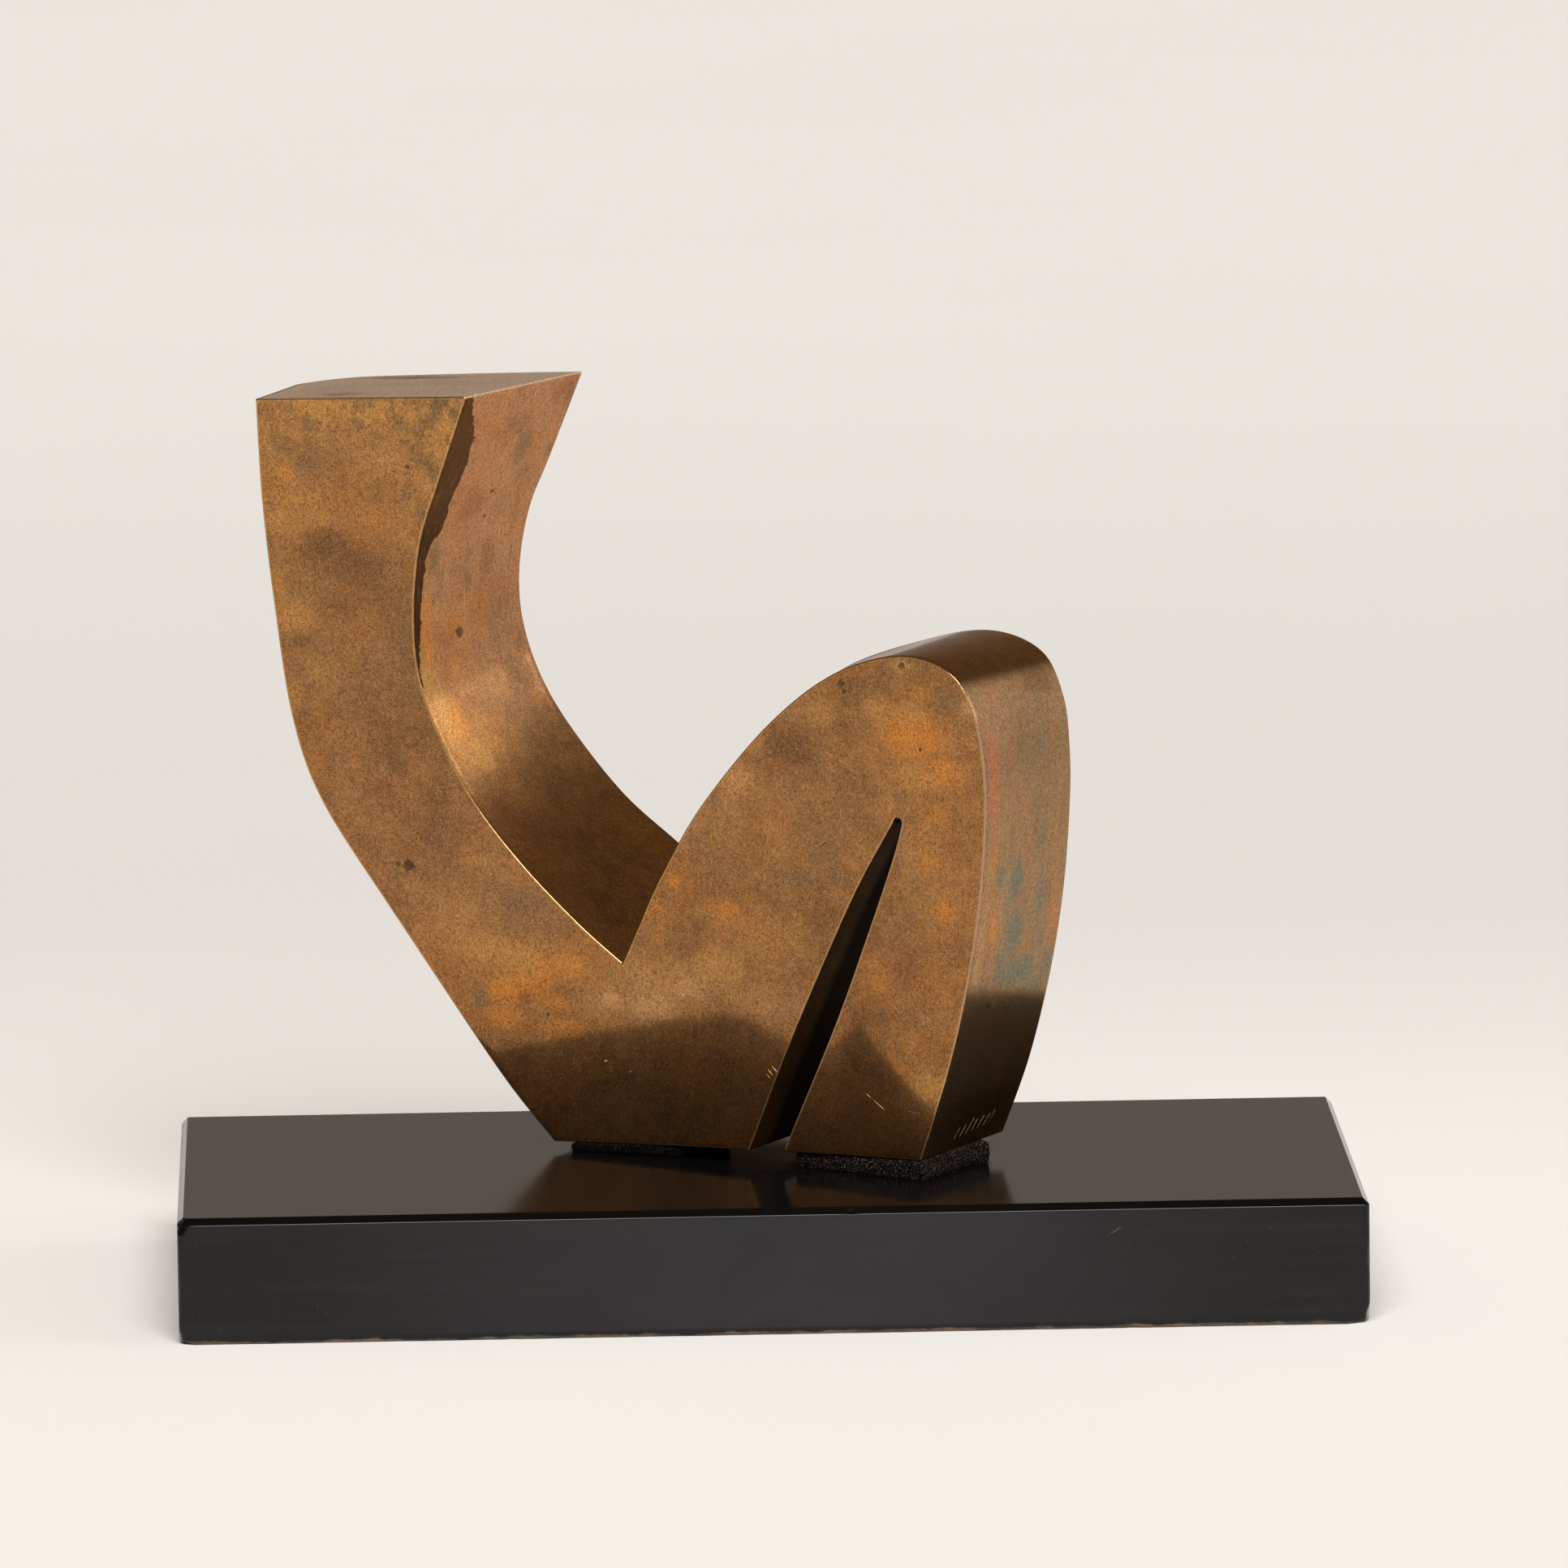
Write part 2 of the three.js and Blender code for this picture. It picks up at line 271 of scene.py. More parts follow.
class Effects:
    """Node groups that the finishes place, each built once."""

    def __init__(self) -> None:
        """Build every group."""
        self.clouds = self._clouds()
        self.speckle = self._speckle()
        self.rubbed = self._rubbed()
        self.scratches = self._scratches()
        self.spot = self._spot()
        self.frayed = self._frayed()

    @staticmethod
    def _clouds(warp_scale: float = 1.7, warp_cells: float = 0.9) -> bpy.types.NodeTree:
        """Soft patches with warped, uneven outlines.

        Args:
            warp_scale: How much finer the warp is than the clouds.
            warp_cells: How far the warp reaches, in cells of the clouds.

        Returns:
            The group.
        """
        sheet = EffectSheet("soft_clouds", Position=None, Per_Metre=40.0, Low=0.4, High=0.6)
        place, per_metre, low, high = sheet.given
        warp = sheet.node("ShaderNodeTexNoise", {"Vector": place, "Detail": 2.0})
        sheet.feed(warp.inputs["Scale"], sheet.times(per_metre, warp_scale))
        shift = sheet.vector("SUBTRACT", warp.outputs[1], (0.5, 0.5, 0.5))
        scaled = sheet.node("ShaderNodeVectorMath", {0: shift.outputs[0]}, operation="SCALE")
        sheet.feed(scaled.inputs["Scale"], sheet.math("DIVIDE", warp_cells, per_metre))
        moved = sheet.vector("ADD", place, scaled.outputs[0])
        return sheet.close(sheet.ramp(sheet.noise(moved.outputs[0], per_metre, 4.0, 0.6), low, high))

    @staticmethod
    def _speckle(rare: float = 0.78, gain: float = 0.4, soft: float = 0.12) -> bpy.types.NodeTree:
        """Small uneven dots.

        Args:
            rare: Noise value above which a dot is full when there are hardly any.
            gain: How far that value drops as the amount rises.
            soft: Width of a dot's border, in noise values.

        Returns:
            The group.
        """
        sheet = EffectSheet("fine_speckle", Position=None, Per_Metre=900.0, Amount=0.2)
        place, per_metre, amount = sheet.given
        high = sheet.minus(rare, sheet.times(amount, gain))
        dots = sheet.noise(place, per_metre, 2.0, 0.7)
        return sheet.close(sheet.ramp(dots, sheet.minus(high, soft), high))

    @staticmethod
    def _rubbed(least: float = 0.2, gain: float = 2.6) -> bpy.types.NodeTree:
        """Wear that hugs an edge and frays away from it.

        Args:
            least: Noise value at which the wear has no width.
            gain: How fast its width grows with the noise.

        Returns:
            The group.
        """
        sheet = EffectSheet("rubbed_edges", Position=None, Edge_Distance=0.0, Width=0.001, Per_Metre=300.0)
        place, distance, width, per_metre = sheet.given
        fray = sheet.noise(place, per_metre, 4.0, 0.65)
        reach = sheet.times(width, sheet.times(sheet.minus(fray, least), gain))
        near = sheet.math("DIVIDE", distance, sheet.math("MAXIMUM", reach, 1e-5))
        return sheet.close(sheet.inverse(sheet.ramp(near, 0.45, 1.1)))

    @staticmethod
    def _scratches(rare: float = 0.8, gain: float = 0.4) -> bpy.types.NodeTree:
        """Thin short lines: a noise's middle value, kept where a second noise is high.

        Args:
            rare: Second noise's value above which a line is kept when there are hardly any.
            gain: How far that value drops as the amount rises.

        Returns:
            The group.
        """
        sheet = EffectSheet("fine_scratches", Position=None, Per_Metre=40.0, Thin=0.012, Amount=0.5)
        place, per_metre, thin, amount = sheet.given
        line = sheet.size(sheet.minus(sheet.noise(place, per_metre, 1.0, 0.4), 0.5))
        drawn = sheet.inverse(sheet.ramp(line, sheet.times(thin, 0.3), thin))
        where = sheet.noise(place, sheet.times(per_metre, 0.7), 2.0, 0.5)
        limit = sheet.minus(rare, sheet.times(amount, gain))
        return sheet.close(sheet.times(drawn, sheet.ramp(where, limit, sheet.plus(limit, 0.05))))

    @staticmethod
    def _spot(least: float = 0.2, gain: float = 1.6) -> bpy.types.NodeTree:
        """One round spot with an uneven rim.

        Args:
            least: Least share of its radius that the rim keeps.
            gain: How much the noise adds to it.

        Returns:
            The group.
        """
        sheet = EffectSheet("single_spot", Position=None, Centre=None, Radius=0.001)
        place, centre, radius = sheet.given
        apart = sheet.vector("DISTANCE", place, centre).outputs["Value"]
        ragged = sheet.noise(place, 900.0, 2.0, 0.6)
        grown = sheet.times(radius, sheet.plus(sheet.times(ragged, gain), least))
        return sheet.close(sheet.inverse(sheet.ramp(sheet.math("DIVIDE", apart, grown), 0.6, 1.15)))

    @staticmethod
    def _frayed(
        soft_share: float = 0.55, crisp_share: float = 0.45, gain: float = 1.15
    ) -> bpy.types.NodeTree:
        """A stain's strength, broken up by two noises into a soft cloud and flakes with crisp borders.

        Args:
            soft_share: Share of the cloud.
            crisp_share: Share of the flakes.
            gain: How strongly the noises break either up.

        Returns:
            The group.
        """
        sheet = EffectSheet("frayed_stain", Strength=0.0, Coarse=0.5, Fine=0.5)
        strength, coarse, fine = sheet.given
        coarse, fine = sheet.minus(coarse, 0.5), sheet.minus(fine, 0.5)
        soft = sheet.times(strength, sheet.plus(1.0, sheet.times(sheet.plus(coarse, fine), gain)), True)
        shaken = sheet.plus(sheet.times(coarse, 0.9), sheet.times(fine, 0.8))
        crisp = sheet.ramp(sheet.plus(strength, sheet.times(shaken, strength)), 0.38, 0.50)
        crisp = sheet.times(crisp, sheet.times(strength, gain, True))
        return sheet.close(sheet.plus(sheet.times(soft, soft_share), sheet.times(crisp, crisp_share), True))


class FinishSheet(NodeSheet):
    """A new material's node tree, with its shader, the position on the piece and the shared effects."""

    def __init__(self, name: str, effects: Effects) -> None:
        """Start the material.

        Args:
            name: The material's name.
            effects: The shared node groups.
        """
        self.material = bpy.data.materials.new(name)
        self.material.use_nodes = True
        super().__init__(self.material.node_tree)
        self.effects = effects
        self.shader = self.tree.nodes["Principled BSDF"]
        self.place = self.node("ShaderNodeTexCoord").outputs["Object"]

    def shade(self, **inputs: object) -> Material:
        """Feed or set the shader's inputs.

        Args:
            **inputs: The inputs by name, with underscores for spaces.

        Returns:
            The material.
        """
        for name, value in inputs.items():
            self.feed(self.shader.inputs[name.replace("_", " ")], value)
        return self.material

    def bump(self, height: Socket, strength: float, distance: float) -> Socket:
        """Turn a height into a normal."""
        inputs = {"Height": height, "Strength": strength, "Distance": distance}
        return self.node("ShaderNodeBump", inputs).outputs[0]

    def value(self, name: str) -> Socket:
        """Read a number that the mesh carries on its points."""
        made = self.node("ShaderNodeAttribute", attribute_name=name, attribute_type="GEOMETRY")
        return made.outputs["Fac"]

    def values(self, name: str) -> list[Socket]:
        """Read three numbers that the mesh carries on its points."""
        made = self.node("ShaderNodeAttribute", attribute_name=name, attribute_type="GEOMETRY")
        return list(self.node("ShaderNodeSeparateColor", {0: made.outputs["Color"]}).outputs)

    def stretched(self, stretch: Axes, turn: Axes = UNTURNED) -> Socket:
        """The position, stretched along each axis and turned about it in radians.

        Args:
            stretch: Scale along each axis.
            turn: Turn about each axis.

        Returns:
            The new position's socket.
        """
        if stretch == EVEN and turn == UNTURNED:
            return self.place
        inputs = {"Vector": self.place, "Scale": stretch, "Rotation": turn}
        return self.node("ShaderNodeMapping", inputs, vector_type="POINT").outputs[0]

    def clouds(self, per_metre: float, low: float, high: float, stretch: Axes = EVEN) -> Socket:
        """Place soft clouds, where the noise rises from low to high."""
        place = self.stretched(stretch)
        return self.group(self.effects.clouds, Position=place, Per_Metre=per_metre, Low=low, High=high)

    def speckle(self, per_metre: float, amount: float, stretch: Axes = EVEN) -> Socket:
        """Place small dots."""
        place = self.stretched(stretch)
        return self.group(self.effects.speckle, Position=place, Per_Metre=per_metre, Amount=amount)

    def scratches(self, per_metre: float, thin: float, amount: float, stretch: Axes, turn: Axes) -> Socket:
        """Place thin short lines."""
        inputs = {"Position": self.stretched(stretch, turn), "Thin": thin, "Amount": amount}
        return self.group(self.effects.scratches, Per_Metre=per_metre, **inputs)

    def rubbed(self, edge: Socket, width: object, per_metre: float) -> Socket:
        """Place wear along the edges."""
        inputs = {"Edge_Distance": edge, "Width": width, "Per_Metre": per_metre}
        return self.group(self.effects.rubbed, Position=self.place, **inputs)


@dataclass(frozen=True)
class Clouds:
    """A tint laid in soft clouds: its noise covers nothing below low and the whole share above high."""

    tint: str
    per_metre: float
    low: float
    high: float
    share: float
    stretch: Axes = EVEN

    def mask(self, sheet: FinishSheet) -> Socket:
        """Where the clouds lie."""
        return sheet.clouds(self.per_metre, self.low, self.high, self.stretch)


@dataclass(frozen=True)
class Streaks(Clouds):
    """A tint laid in long thin strokes."""

    turn: Axes = UNTURNED

    def mask(self, sheet: FinishSheet) -> Socket:
        """Where the strokes lie."""
        place = sheet.stretched(self.stretch, self.turn)
        return sheet.ramp(sheet.noise(place, self.per_metre, 3.0, 0.6), self.low, self.high)


@dataclass(frozen=True)
class BronzeMasks:
    """The masks that the figure's mesh carries, and its distance to the nearest edge."""

    side: Socket
    strip: Socket
    flaked: Socket
    soot_and_slit_shade: Socket
    inner: Socket
    crown: Socket
    edge: Socket
    rim: Socket

    @classmethod
    def read(cls, sheet: FinishSheet) -> "BronzeMasks":
        """Read them in a material."""
        return cls(*sheet.values("zones"), *sheet.values("parts"), sheet.value("edge"), sheet.value("rim"))


@dataclass(frozen=True)
class BronzeFinish:
    """Worn golden-brown bronze: clouds of ochre and orange, dark stains, fine speckle, rubbed edges, painted
    light and shade.
    """

    brown: Colour = (0.315, 0.150, 0.061)
    dull_brown: Colour = (0.200, 0.097, 0.042)
    ochre: Colour = (0.50, 0.245, 0.075)
    orange: Colour = (0.62, 0.225, 0.045)
    rust: Colour = (0.235, 0.088, 0.038)
    smoke: Colour = (0.135, 0.066, 0.031)
    olive: Colour = (0.195, 0.118, 0.058)
    slate: Colour = (0.205, 0.118, 0.068)
    pale: Colour = (0.66, 0.36, 0.16)
    rose: Colour = (0.50, 0.20, 0.105)
    verdigris: Colour = (0.135, 0.185, 0.150)
    tan: Colour = (0.50, 0.270, 0.140)
    stone: Colour = (0.35, 0.230, 0.125)
    bare: Colour = (0.85, 0.50, 0.17)
    soot_and_slit_shade: Colour = (0.055, 0.033, 0.016)
    # Paler, duller patina of the top face, partly painted light: lightened so that its grazing view matches
    # the bright room it reflects.
    crown: Colour = (0.55, 0.395, 0.29)
    # Near black for the slit's dull inside, deepening with depth as painted shade.
    slit_black: Colour = (0.003, 0.002, 0.0015)
    # Pale line along the knee's and the slit's right edges: partly wear, partly a painted highlight.
    rim_wear_and_highlight: Colour = (0.42, 0.29, 0.20)
    strip_low: Colour = (0.017, 0.0063, 0.0019)
    strip_high: Colour = (0.054, 0.020, 0.0072)
    strip_speck: Colour = (0.085, 0.038, 0.014)
    grazing: Colour = (0.82, 0.66, 0.55)
    metallic: float = 0.965
    smooth: float = 0.045
    dull: float = 0.12
    ground: tuple[Clouds, ...] = (
        Clouds("dull_brown", 36, 0.38, 0.64, 1.0),
        Clouds("orange", 75, 0.44, 0.66, 0.18, (1.0, 1.2, 0.8)),
        Clouds("ochre", 210, 0.42, 0.58, 0.22),
        Clouds("rust", 430, 0.48, 0.60, 0.28, (0.9, 1.1, 1.2)),
    )
    inner_wall: tuple[Clouds, ...] = (
        Clouds("rose", 70, 0.42, 0.60, 0.55),
        Clouds("slate", 95, 0.52, 0.70, 0.65, (1.1, 0.9, 1.0)),
        Clouds("orange", 260, 0.44, 0.60, 0.30),
        Streaks("rust", 60, 0.50, 0.66, 0.35, (14.0, 14.0, 1.4), (0.0, 0.5, 0.0)),
    )
    outer_shin: tuple[Clouds, ...] = (
        Clouds("rose", 55, 0.44, 0.60, 0.35, (1.6, 1.6, 0.55)),
        Clouds("verdigris", 85, 0.50, 0.66, 0.25, (1.76, 1.6, 0.715)),
        Streaks("rust", 70, 0.46, 0.68, 0.30, (9.0, 9.0, 0.8)),
    )
    flakes: tuple[Clouds, ...] = (
        Clouds("ochre", 260, 0.475, 0.505, 0.75),
        Clouds("olive", 170, 0.545, 0.575, 0.55, (1.2, 1.0, 0.9)),
    )

    def material(self, effects: Effects, spots: Sequence[tuple[Axes, float]]) -> Material:
        """Build the material. The mesh carries named values that place its stains.

        Args:
            effects: The shared node groups.
            spots: Centre, in metres, and radius of each small dark spot.

        Returns:
            The material.
        """
        sheet = FinishSheet("worn_bronze", effects)
        masks = BronzeMasks.read(sheet)
        colour = self._patina(sheet, masks)
        for centre, radius in spots:
            spot = sheet.group(effects.spot, Position=sheet.place, Centre=centre, Radius=radius)
            colour = sheet.lay(colour, self.soot_and_slit_shade, spot, share=0.8)
        grain = sheet.noise(sheet.place, 3000.0, 3.0, 0.65)
        for value, reach in ((grain, 0.40), (sheet.noise(sheet.place, 1100.0, 2.0, 0.5), 0.16)):
            lift = sheet.spread(value, (0.32, 0.68), (1.0 - reach, 1.0 + reach))
            colour = sheet.blend(1.0, colour, lift, "MULTIPLY")
        pits = sheet.speckle(per_metre=1900.0, amount=0.34)
        colour = self._wear(sheet, masks, pits, colour)
        metal = sheet.minus(self.metallic, sheet.times(masks.soot_and_slit_shade, 0.1))
        return sheet.shade(
            Base_Color=colour,
            Roughness=self._roughness(sheet, masks, pits),
            Metallic=sheet.minus(metal, sheet.times(masks.crown, 0.5)),
            Specular_Tint=self.grazing,
            Normal=sheet.bump(sheet.plus(grain, sheet.times(pits, -0.6)), strength=0.035, distance=0.00002),
        )

    def _layered(
        self, sheet: FinishSheet, colour: object, layers: Sequence[Clouds], within: Socket | None = None
    ) -> Socket:
        """Lay several tints of clouds or streaks over a colour.

        Args:
            sheet: The material's sheet.
            colour: Colour below.
            layers: The layers from the lowest up.
            within: Mask that they are kept to, if any.

        Returns:
            The colour's socket.
        """
        for layer in layers:
            mask = layer.mask(sheet)
            if within is not None:
                mask = sheet.times(mask, within)
            colour = sheet.lay(colour, getattr(self, layer.tint), mask, layer.share)
        return colour

    def _patina(self, sheet: FinishSheet, masks: BronzeMasks) -> Socket:
        """Lay the ground, the colours of each face, the placed stains, some of them painted shade and
        highlight, and the flakes beside the edges.

        Args:
            sheet: The material's sheet.
            masks: The mesh's masks.

        Returns:
            The colour's socket.
        """
        colour = self._layered(sheet, self.brown, self.ground)
        colour = sheet.blend(masks.inner, colour, self._layered(sheet, self.tan, self.inner_wall))
        colour = sheet.lay(colour, self._layered(sheet, self.stone, self.outer_shin), masks.side, share=0.9)
        # The top face's paler patina, lightened in part as painted light.
        colour = sheet.blend(masks.crown, colour, self.crown)
        coarse = sheet.noise(sheet.place, 170.0, 5.0, 0.65)
        fine = sheet.noise(sheet.place, 620.0, 4.0, 0.65)
        for tint in Tint:
            strength = sheet.value(f"stain_{tint.value}")
            mask = sheet.group(sheet.effects.frayed, Strength=strength, Coarse=coarse, Fine=fine)
            colour = sheet.lay(colour, getattr(self, tint.value), mask, share=0.92)
        beside = sheet.inverse(sheet.ramp(masks.edge, 0.004, 0.016))
        return self._layered(sheet, colour, self.flakes, sheet.times(beside, masks.flaked))

    def _wear(self, sheet: FinishSheet, masks: BronzeMasks, pits: Socket, colour: Socket) -> Socket:
        """Lay pits, bright flecks, scratches, the dark strip, the slit's dull inside with its painted shade,
        and the rubbed edges with the rim's partly painted highlight.

        Args:
            sheet: The material's sheet.
            masks: The mesh's masks.
            pits: Mask of the pits.
            colour: Colour below.

        Returns:
            The colour's socket.
        """
        colour = sheet.lay(colour, self.soot_and_slit_shade, pits, share=0.5)
        flecks = sheet.speckle(per_metre=2400.0, amount=0.30, stretch=(1.3, 1.1, 0.9))
        colour = sheet.lay(colour, self.bare, flecks, share=0.25)
        scored = sheet.scratches(
            per_metre=30.0, thin=0.006, amount=0.35, stretch=(6.0, 6.0, 0.7), turn=(0.4, 0.9, 0.2)
        )
        colour = sheet.lay(colour, self.bare, scored, share=0.35)
        colour = self._strip(sheet, masks.strip, colour)
        # The slit's dull inside, laid near black: painted shade that deepens away from the front.
        colour = sheet.lay(colour, self.slit_black, masks.soot_and_slit_shade, share=0.97)
        worn = sheet.rubbed(masks.edge, width=0.00020, per_metre=380.0)
        colour = sheet.lay(colour, self.bare, worn, share=0.30)
        # Painted highlight, partly wear: a pale line along the right edges of the knee and the slit.
        rim = sheet.times(sheet.rubbed(masks.edge, width=0.0006, per_metre=450.0), masks.rim)
        return sheet.lay(colour, self.rim_wear_and_highlight, rim, share=0.6)

    def _strip(self, sheet: FinishSheet, zone: Socket, colour: Socket) -> Socket:
        """Darken a strip of the inner wall, with a ragged border and a few lighter file strokes.

        Args:
            sheet: The material's sheet.
            zone: Mask of the strip, soft at its border.
            colour: Colour below.

        Returns:
            The colour's socket.
        """
        hatch = sheet.noise(sheet.stretched((9.0, 9.0, 1.1), (0.0, 0.35, 0.0)), 90.0, 3.0, 0.6)
        fray = sheet.times(sheet.minus(sheet.noise(sheet.place, 300.0, 4.0, 0.65), 0.5), 1.5)
        fray = sheet.plus(fray, sheet.times(sheet.minus(hatch, 0.5), 0.7))
        mask = sheet.times(sheet.ramp(sheet.plus(zone, fray), 0.45, 0.60), sheet.ramp(zone, 0.0, 0.1))
        filed = sheet.scratches(
            per_metre=60.0, thin=0.05, amount=0.9, stretch=(12.0, 12.0, 1.2), turn=(0.0, 0.25, 0.0)
        )
        height = sheet.axes(sheet.place)[2]
        shade = sheet.blend(sheet.ramp(height, 0.172, 0.208), self.strip_low, self.strip_high)
        dark = sheet.lay(shade, self.rust, filed, share=0.3)
        specks = sheet.ramp(sheet.noise(sheet.place, 1500.0, 2.0, 0.6), 0.45, 0.7)
        specks = sheet.times(specks, sheet.ramp(height, 0.165, 0.215))
        dark = sheet.lay(dark, self.strip_speck, specks, share=0.6)
        return sheet.lay(colour, dark, mask, share=0.95)

    def _roughness(self, sheet: FinishSheet, masks: BronzeMasks, pits: Socket) -> Socket:
        """Polished metal under a film of fine dust, dull on the shin, the top face and in the slit.

        Args:
            sheet: The material's sheet.
            masks: The mesh's masks.
            pits: Mask of the pits.

        Returns:
            The roughness's socket.
        """
        patchy = sheet.clouds(per_metre=90.0, low=0.3, high=0.7)
        rough = sheet.spread(patchy, (0.0, 1.0), (self.smooth, self.smooth + 0.02))
        rough = sheet.plus(rough, sheet.times(pits, 0.10))
        dust = sheet.ramp(sheet.noise(sheet.place, 11000.0, 1.0, 0.5), 0.465, 0.525)
        dust = sheet.times(dust, sheet.inverse(sheet.times(masks.side, 0.85)))
        for mask, rise in (
            (dust, 0.23),
            (masks.side, self.dull - self.smooth),
            (masks.crown, 0.22),
            (masks.soot_and_slit_shade, 0.5),
        ):
            rough = sheet.plus(rough, sheet.times(mask, rise))
        return rough


@dataclass(frozen=True)
class BareBronzeFinish:
    """Fresh metal in the bottom of a scratch."""

    name: str = "bare_bronze"
    colour: Colour = (0.72, 0.47, 0.19)
    dull: Colour = (0.38, 0.24, 0.12)
    metallic: float = 0.8
    roughness: float = 0.35

    def material(self, effects: Effects) -> Material:
        """Build the material.

        Args:
            effects: The shared node groups.

        Returns:
            The material.
        """
        sheet = FinishSheet(self.name, effects)
        colour = sheet.blend(sheet.clouds(per_metre=700.0, low=0.4, high=0.65), self.colour, self.dull)
        return sheet.shade(Base_Color=colour, Metallic=self.metallic, Roughness=self.roughness)


@dataclass(frozen=True)
class WoodFinish:
    """Ebonised wood: satin black with fine grain, scratches, dust and brown wear along its edges."""

    black: Colour = (0.0022, 0.0021, 0.0022)
    grey: Colour = (0.0065, 0.006, 0.0058)
    # Lighter grey that the front face takes towards its middle.
    front_middle_grey: Colour = (0.0155, 0.0150, 0.0158)
    worn: Colour = (0.16, 0.105, 0.065)
    dust: Colour = (0.30, 0.29, 0.27)
    # Painted shade on the bevel, standing for its dark reflection of the ceiling.
    bevel_shade: Colour = (0.0006, 0.0006, 0.0006)
    half: Axes = (0.14, 0.07, 0.015)
    gloss: float = 0.30

    def edge_distance(self, sheet: FinishSheet) -> Socket:
        """Distance to the block's nearest edge: the middle one of the distances to its faces.

        Args:
            sheet: The material's sheet.

        Returns:
            The distance's socket, in metres.
        """
        away = []
        for axis, (value, half) in enumerate(zip(sheet.axes(sheet.place), self.half)):
            centred = sheet.minus(value, half if axis == 2 else 0.0)
            away.append(sheet.minus(half, sheet.size(centred)))
        lesser = sheet.math("MINIMUM", away[0], away[1])
        greater = sheet.math("MAXIMUM", away[0], away[1])
        return sheet.math("MAXIMUM", lesser, sheet.math("MINIMUM", greater, away[2]))

    def material(self, effects: Effects) -> Material:
        """Build the material.

        Args:
            effects: The shared node groups.

        Returns:
            The material.
        """
        sheet = FinishSheet("ebonised_wood", effects)
        edge = self.edge_distance(sheet)
        across, behind, height = sheet.axes(sheet.place)
        aside = sheet.size(across)
        streaks = sheet.noise(sheet.stretched((22.0, 420.0, 420.0)), 1.0, 4.0, 0.6)
        broad = sheet.clouds(per_metre=30.0, low=0.35, high=0.7, stretch=(0.5, 1.0, 1.0))
        colour = sheet.blend(sheet.ramp(streaks, 0.42, 0.75), self.black, self.grey)
        colour = sheet.lay(colour, self.grey, broad, share=0.35)
        colour = sheet.lay(colour, self.dust, sheet.speckle(per_metre=1300.0, amount=0.02), share=0.12)
        scored = sheet.scratches(
            per_metre=22.0, thin=0.004, amount=0.35, stretch=(1.0, 4.0, 5.0), turn=(0.5, 0.3, 0.6)
        )
        colour = sheet.lay(colour, self.dust, scored, share=0.25)

        # The front face is lighter towards its middle, unevenly, fading out towards its ends and edges.
        middle = sheet.inverse(sheet.ramp(aside, 0.02, 0.13))
        front = sheet.inverse(sheet.ramp(behind, -0.0699, -0.0692))
        inside = sheet.ramp(edge, 0.0012, 0.0022)
        uneven = sheet.plus(0.7, sheet.times(broad, 0.3))
        front_middle_lift = sheet.times(sheet.times(sheet.times(middle, front), inside), uneven)
        colour = sheet.blend(front_middle_lift, colour, self.front_middle_grey)

        low = sheet.inverse(sheet.ramp(height, 0.001, 0.008))
        low = sheet.math("MAXIMUM", low, sheet.times(sheet.ramp(aside, 0.1375, 0.1395), 0.5))
        width = sheet.plus(0.0001, sheet.times(low, 0.0010))
        patchy = sheet.clouds(per_metre=60.0, low=0.42, high=0.62)
        strength = sheet.times(low, sheet.plus(0.3, sheet.times(patchy, 0.5)))
        rubbed = sheet.times(sheet.rubbed(edge, width, per_metre=120.0), strength)
        colour = sheet.blend(rubbed, colour, self.worn)
        # Painted shade: the bevel is laid nearly black, as its reflection of the dark ceiling.
        slope = sheet.inverse(sheet.ramp(edge, 0.0016, 0.0019))
        slope = sheet.times(slope, sheet.ramp(height, 0.020, 0.026))
        colour = sheet.lay(colour, self.bevel_shade, slope, share=0.85)

        rough = sheet.minus(sheet.spread(streaks, (0.0, 1.0), (0.10, 0.19)), sheet.times(slope, 0.07))
        relief = sheet.plus(streaks, sheet.times(scored, -0.8))
        return sheet.shade(
            Base_Color=colour,
            Roughness=sheet.plus(rough, sheet.times(rubbed, 0.3)),
            Specular_IOR_Level=self.gloss,
            Normal=sheet.bump(relief, strength=0.10, distance=0.00005),
        )


@dataclass(frozen=True)
class FeltFinish:
    """Grey-brown wool felt with lighter fibres."""

    name: str
    wool: Colour
    fibre: Colour
    roughness: float = 0.95
    gloss: float = 0.05
    deep: float = 0.35

    def material(self, effects: Effects) -> Material:
        """Build the material.

        Args:
            effects: The shared node groups.

        Returns:
            The material.
        """
        sheet = FinishSheet(self.name, effects)
        clumps = sheet.clouds(per_metre=500.0, low=0.4, high=0.65)
        pale = sheet.speckle(per_metre=2400.0, amount=0.32)
        colour = sheet.lay(self.wool, tuple(part * self.deep for part in self.wool), clumps, share=0.5)
        tangle = sheet.noise(sheet.place, 1600.0, 4.0, 0.7)
        return sheet.shade(
            Base_Color=sheet.lay(colour, self.fibre, pale, share=0.7),
            Roughness=self.roughness,
            Specular_IOR_Level=self.gloss,
            Normal=sheet.bump(tangle, strength=0.8, distance=0.0005),
        )


def make_piece(name: str, points: np.ndarray, faces: Faces, material: Material, slot: Slot) -> Piece:
    """Make a smooth-shaded mesh object that rides on the root body.

    Args:
        name: The piece's name.
        points: Points in millimetres.
        faces: Corner indices of each face.
        material: Its material.
        slot: The record's slot; not used.

    Returns:
        The object.
    """
    mesh = bpy.data.meshes.new(name)
    mesh.from_pydata((np.asarray(points) * MM).tolist(), [], [list(face) for face in faces])
    mesh.validate()
    mesh.materials.append(material)
    mesh.shade_smooth()
    piece = bpy.data.objects.new(name, mesh)
    bpy.context.scene.collection.objects.link(piece)
    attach(piece, "root")
    return piece


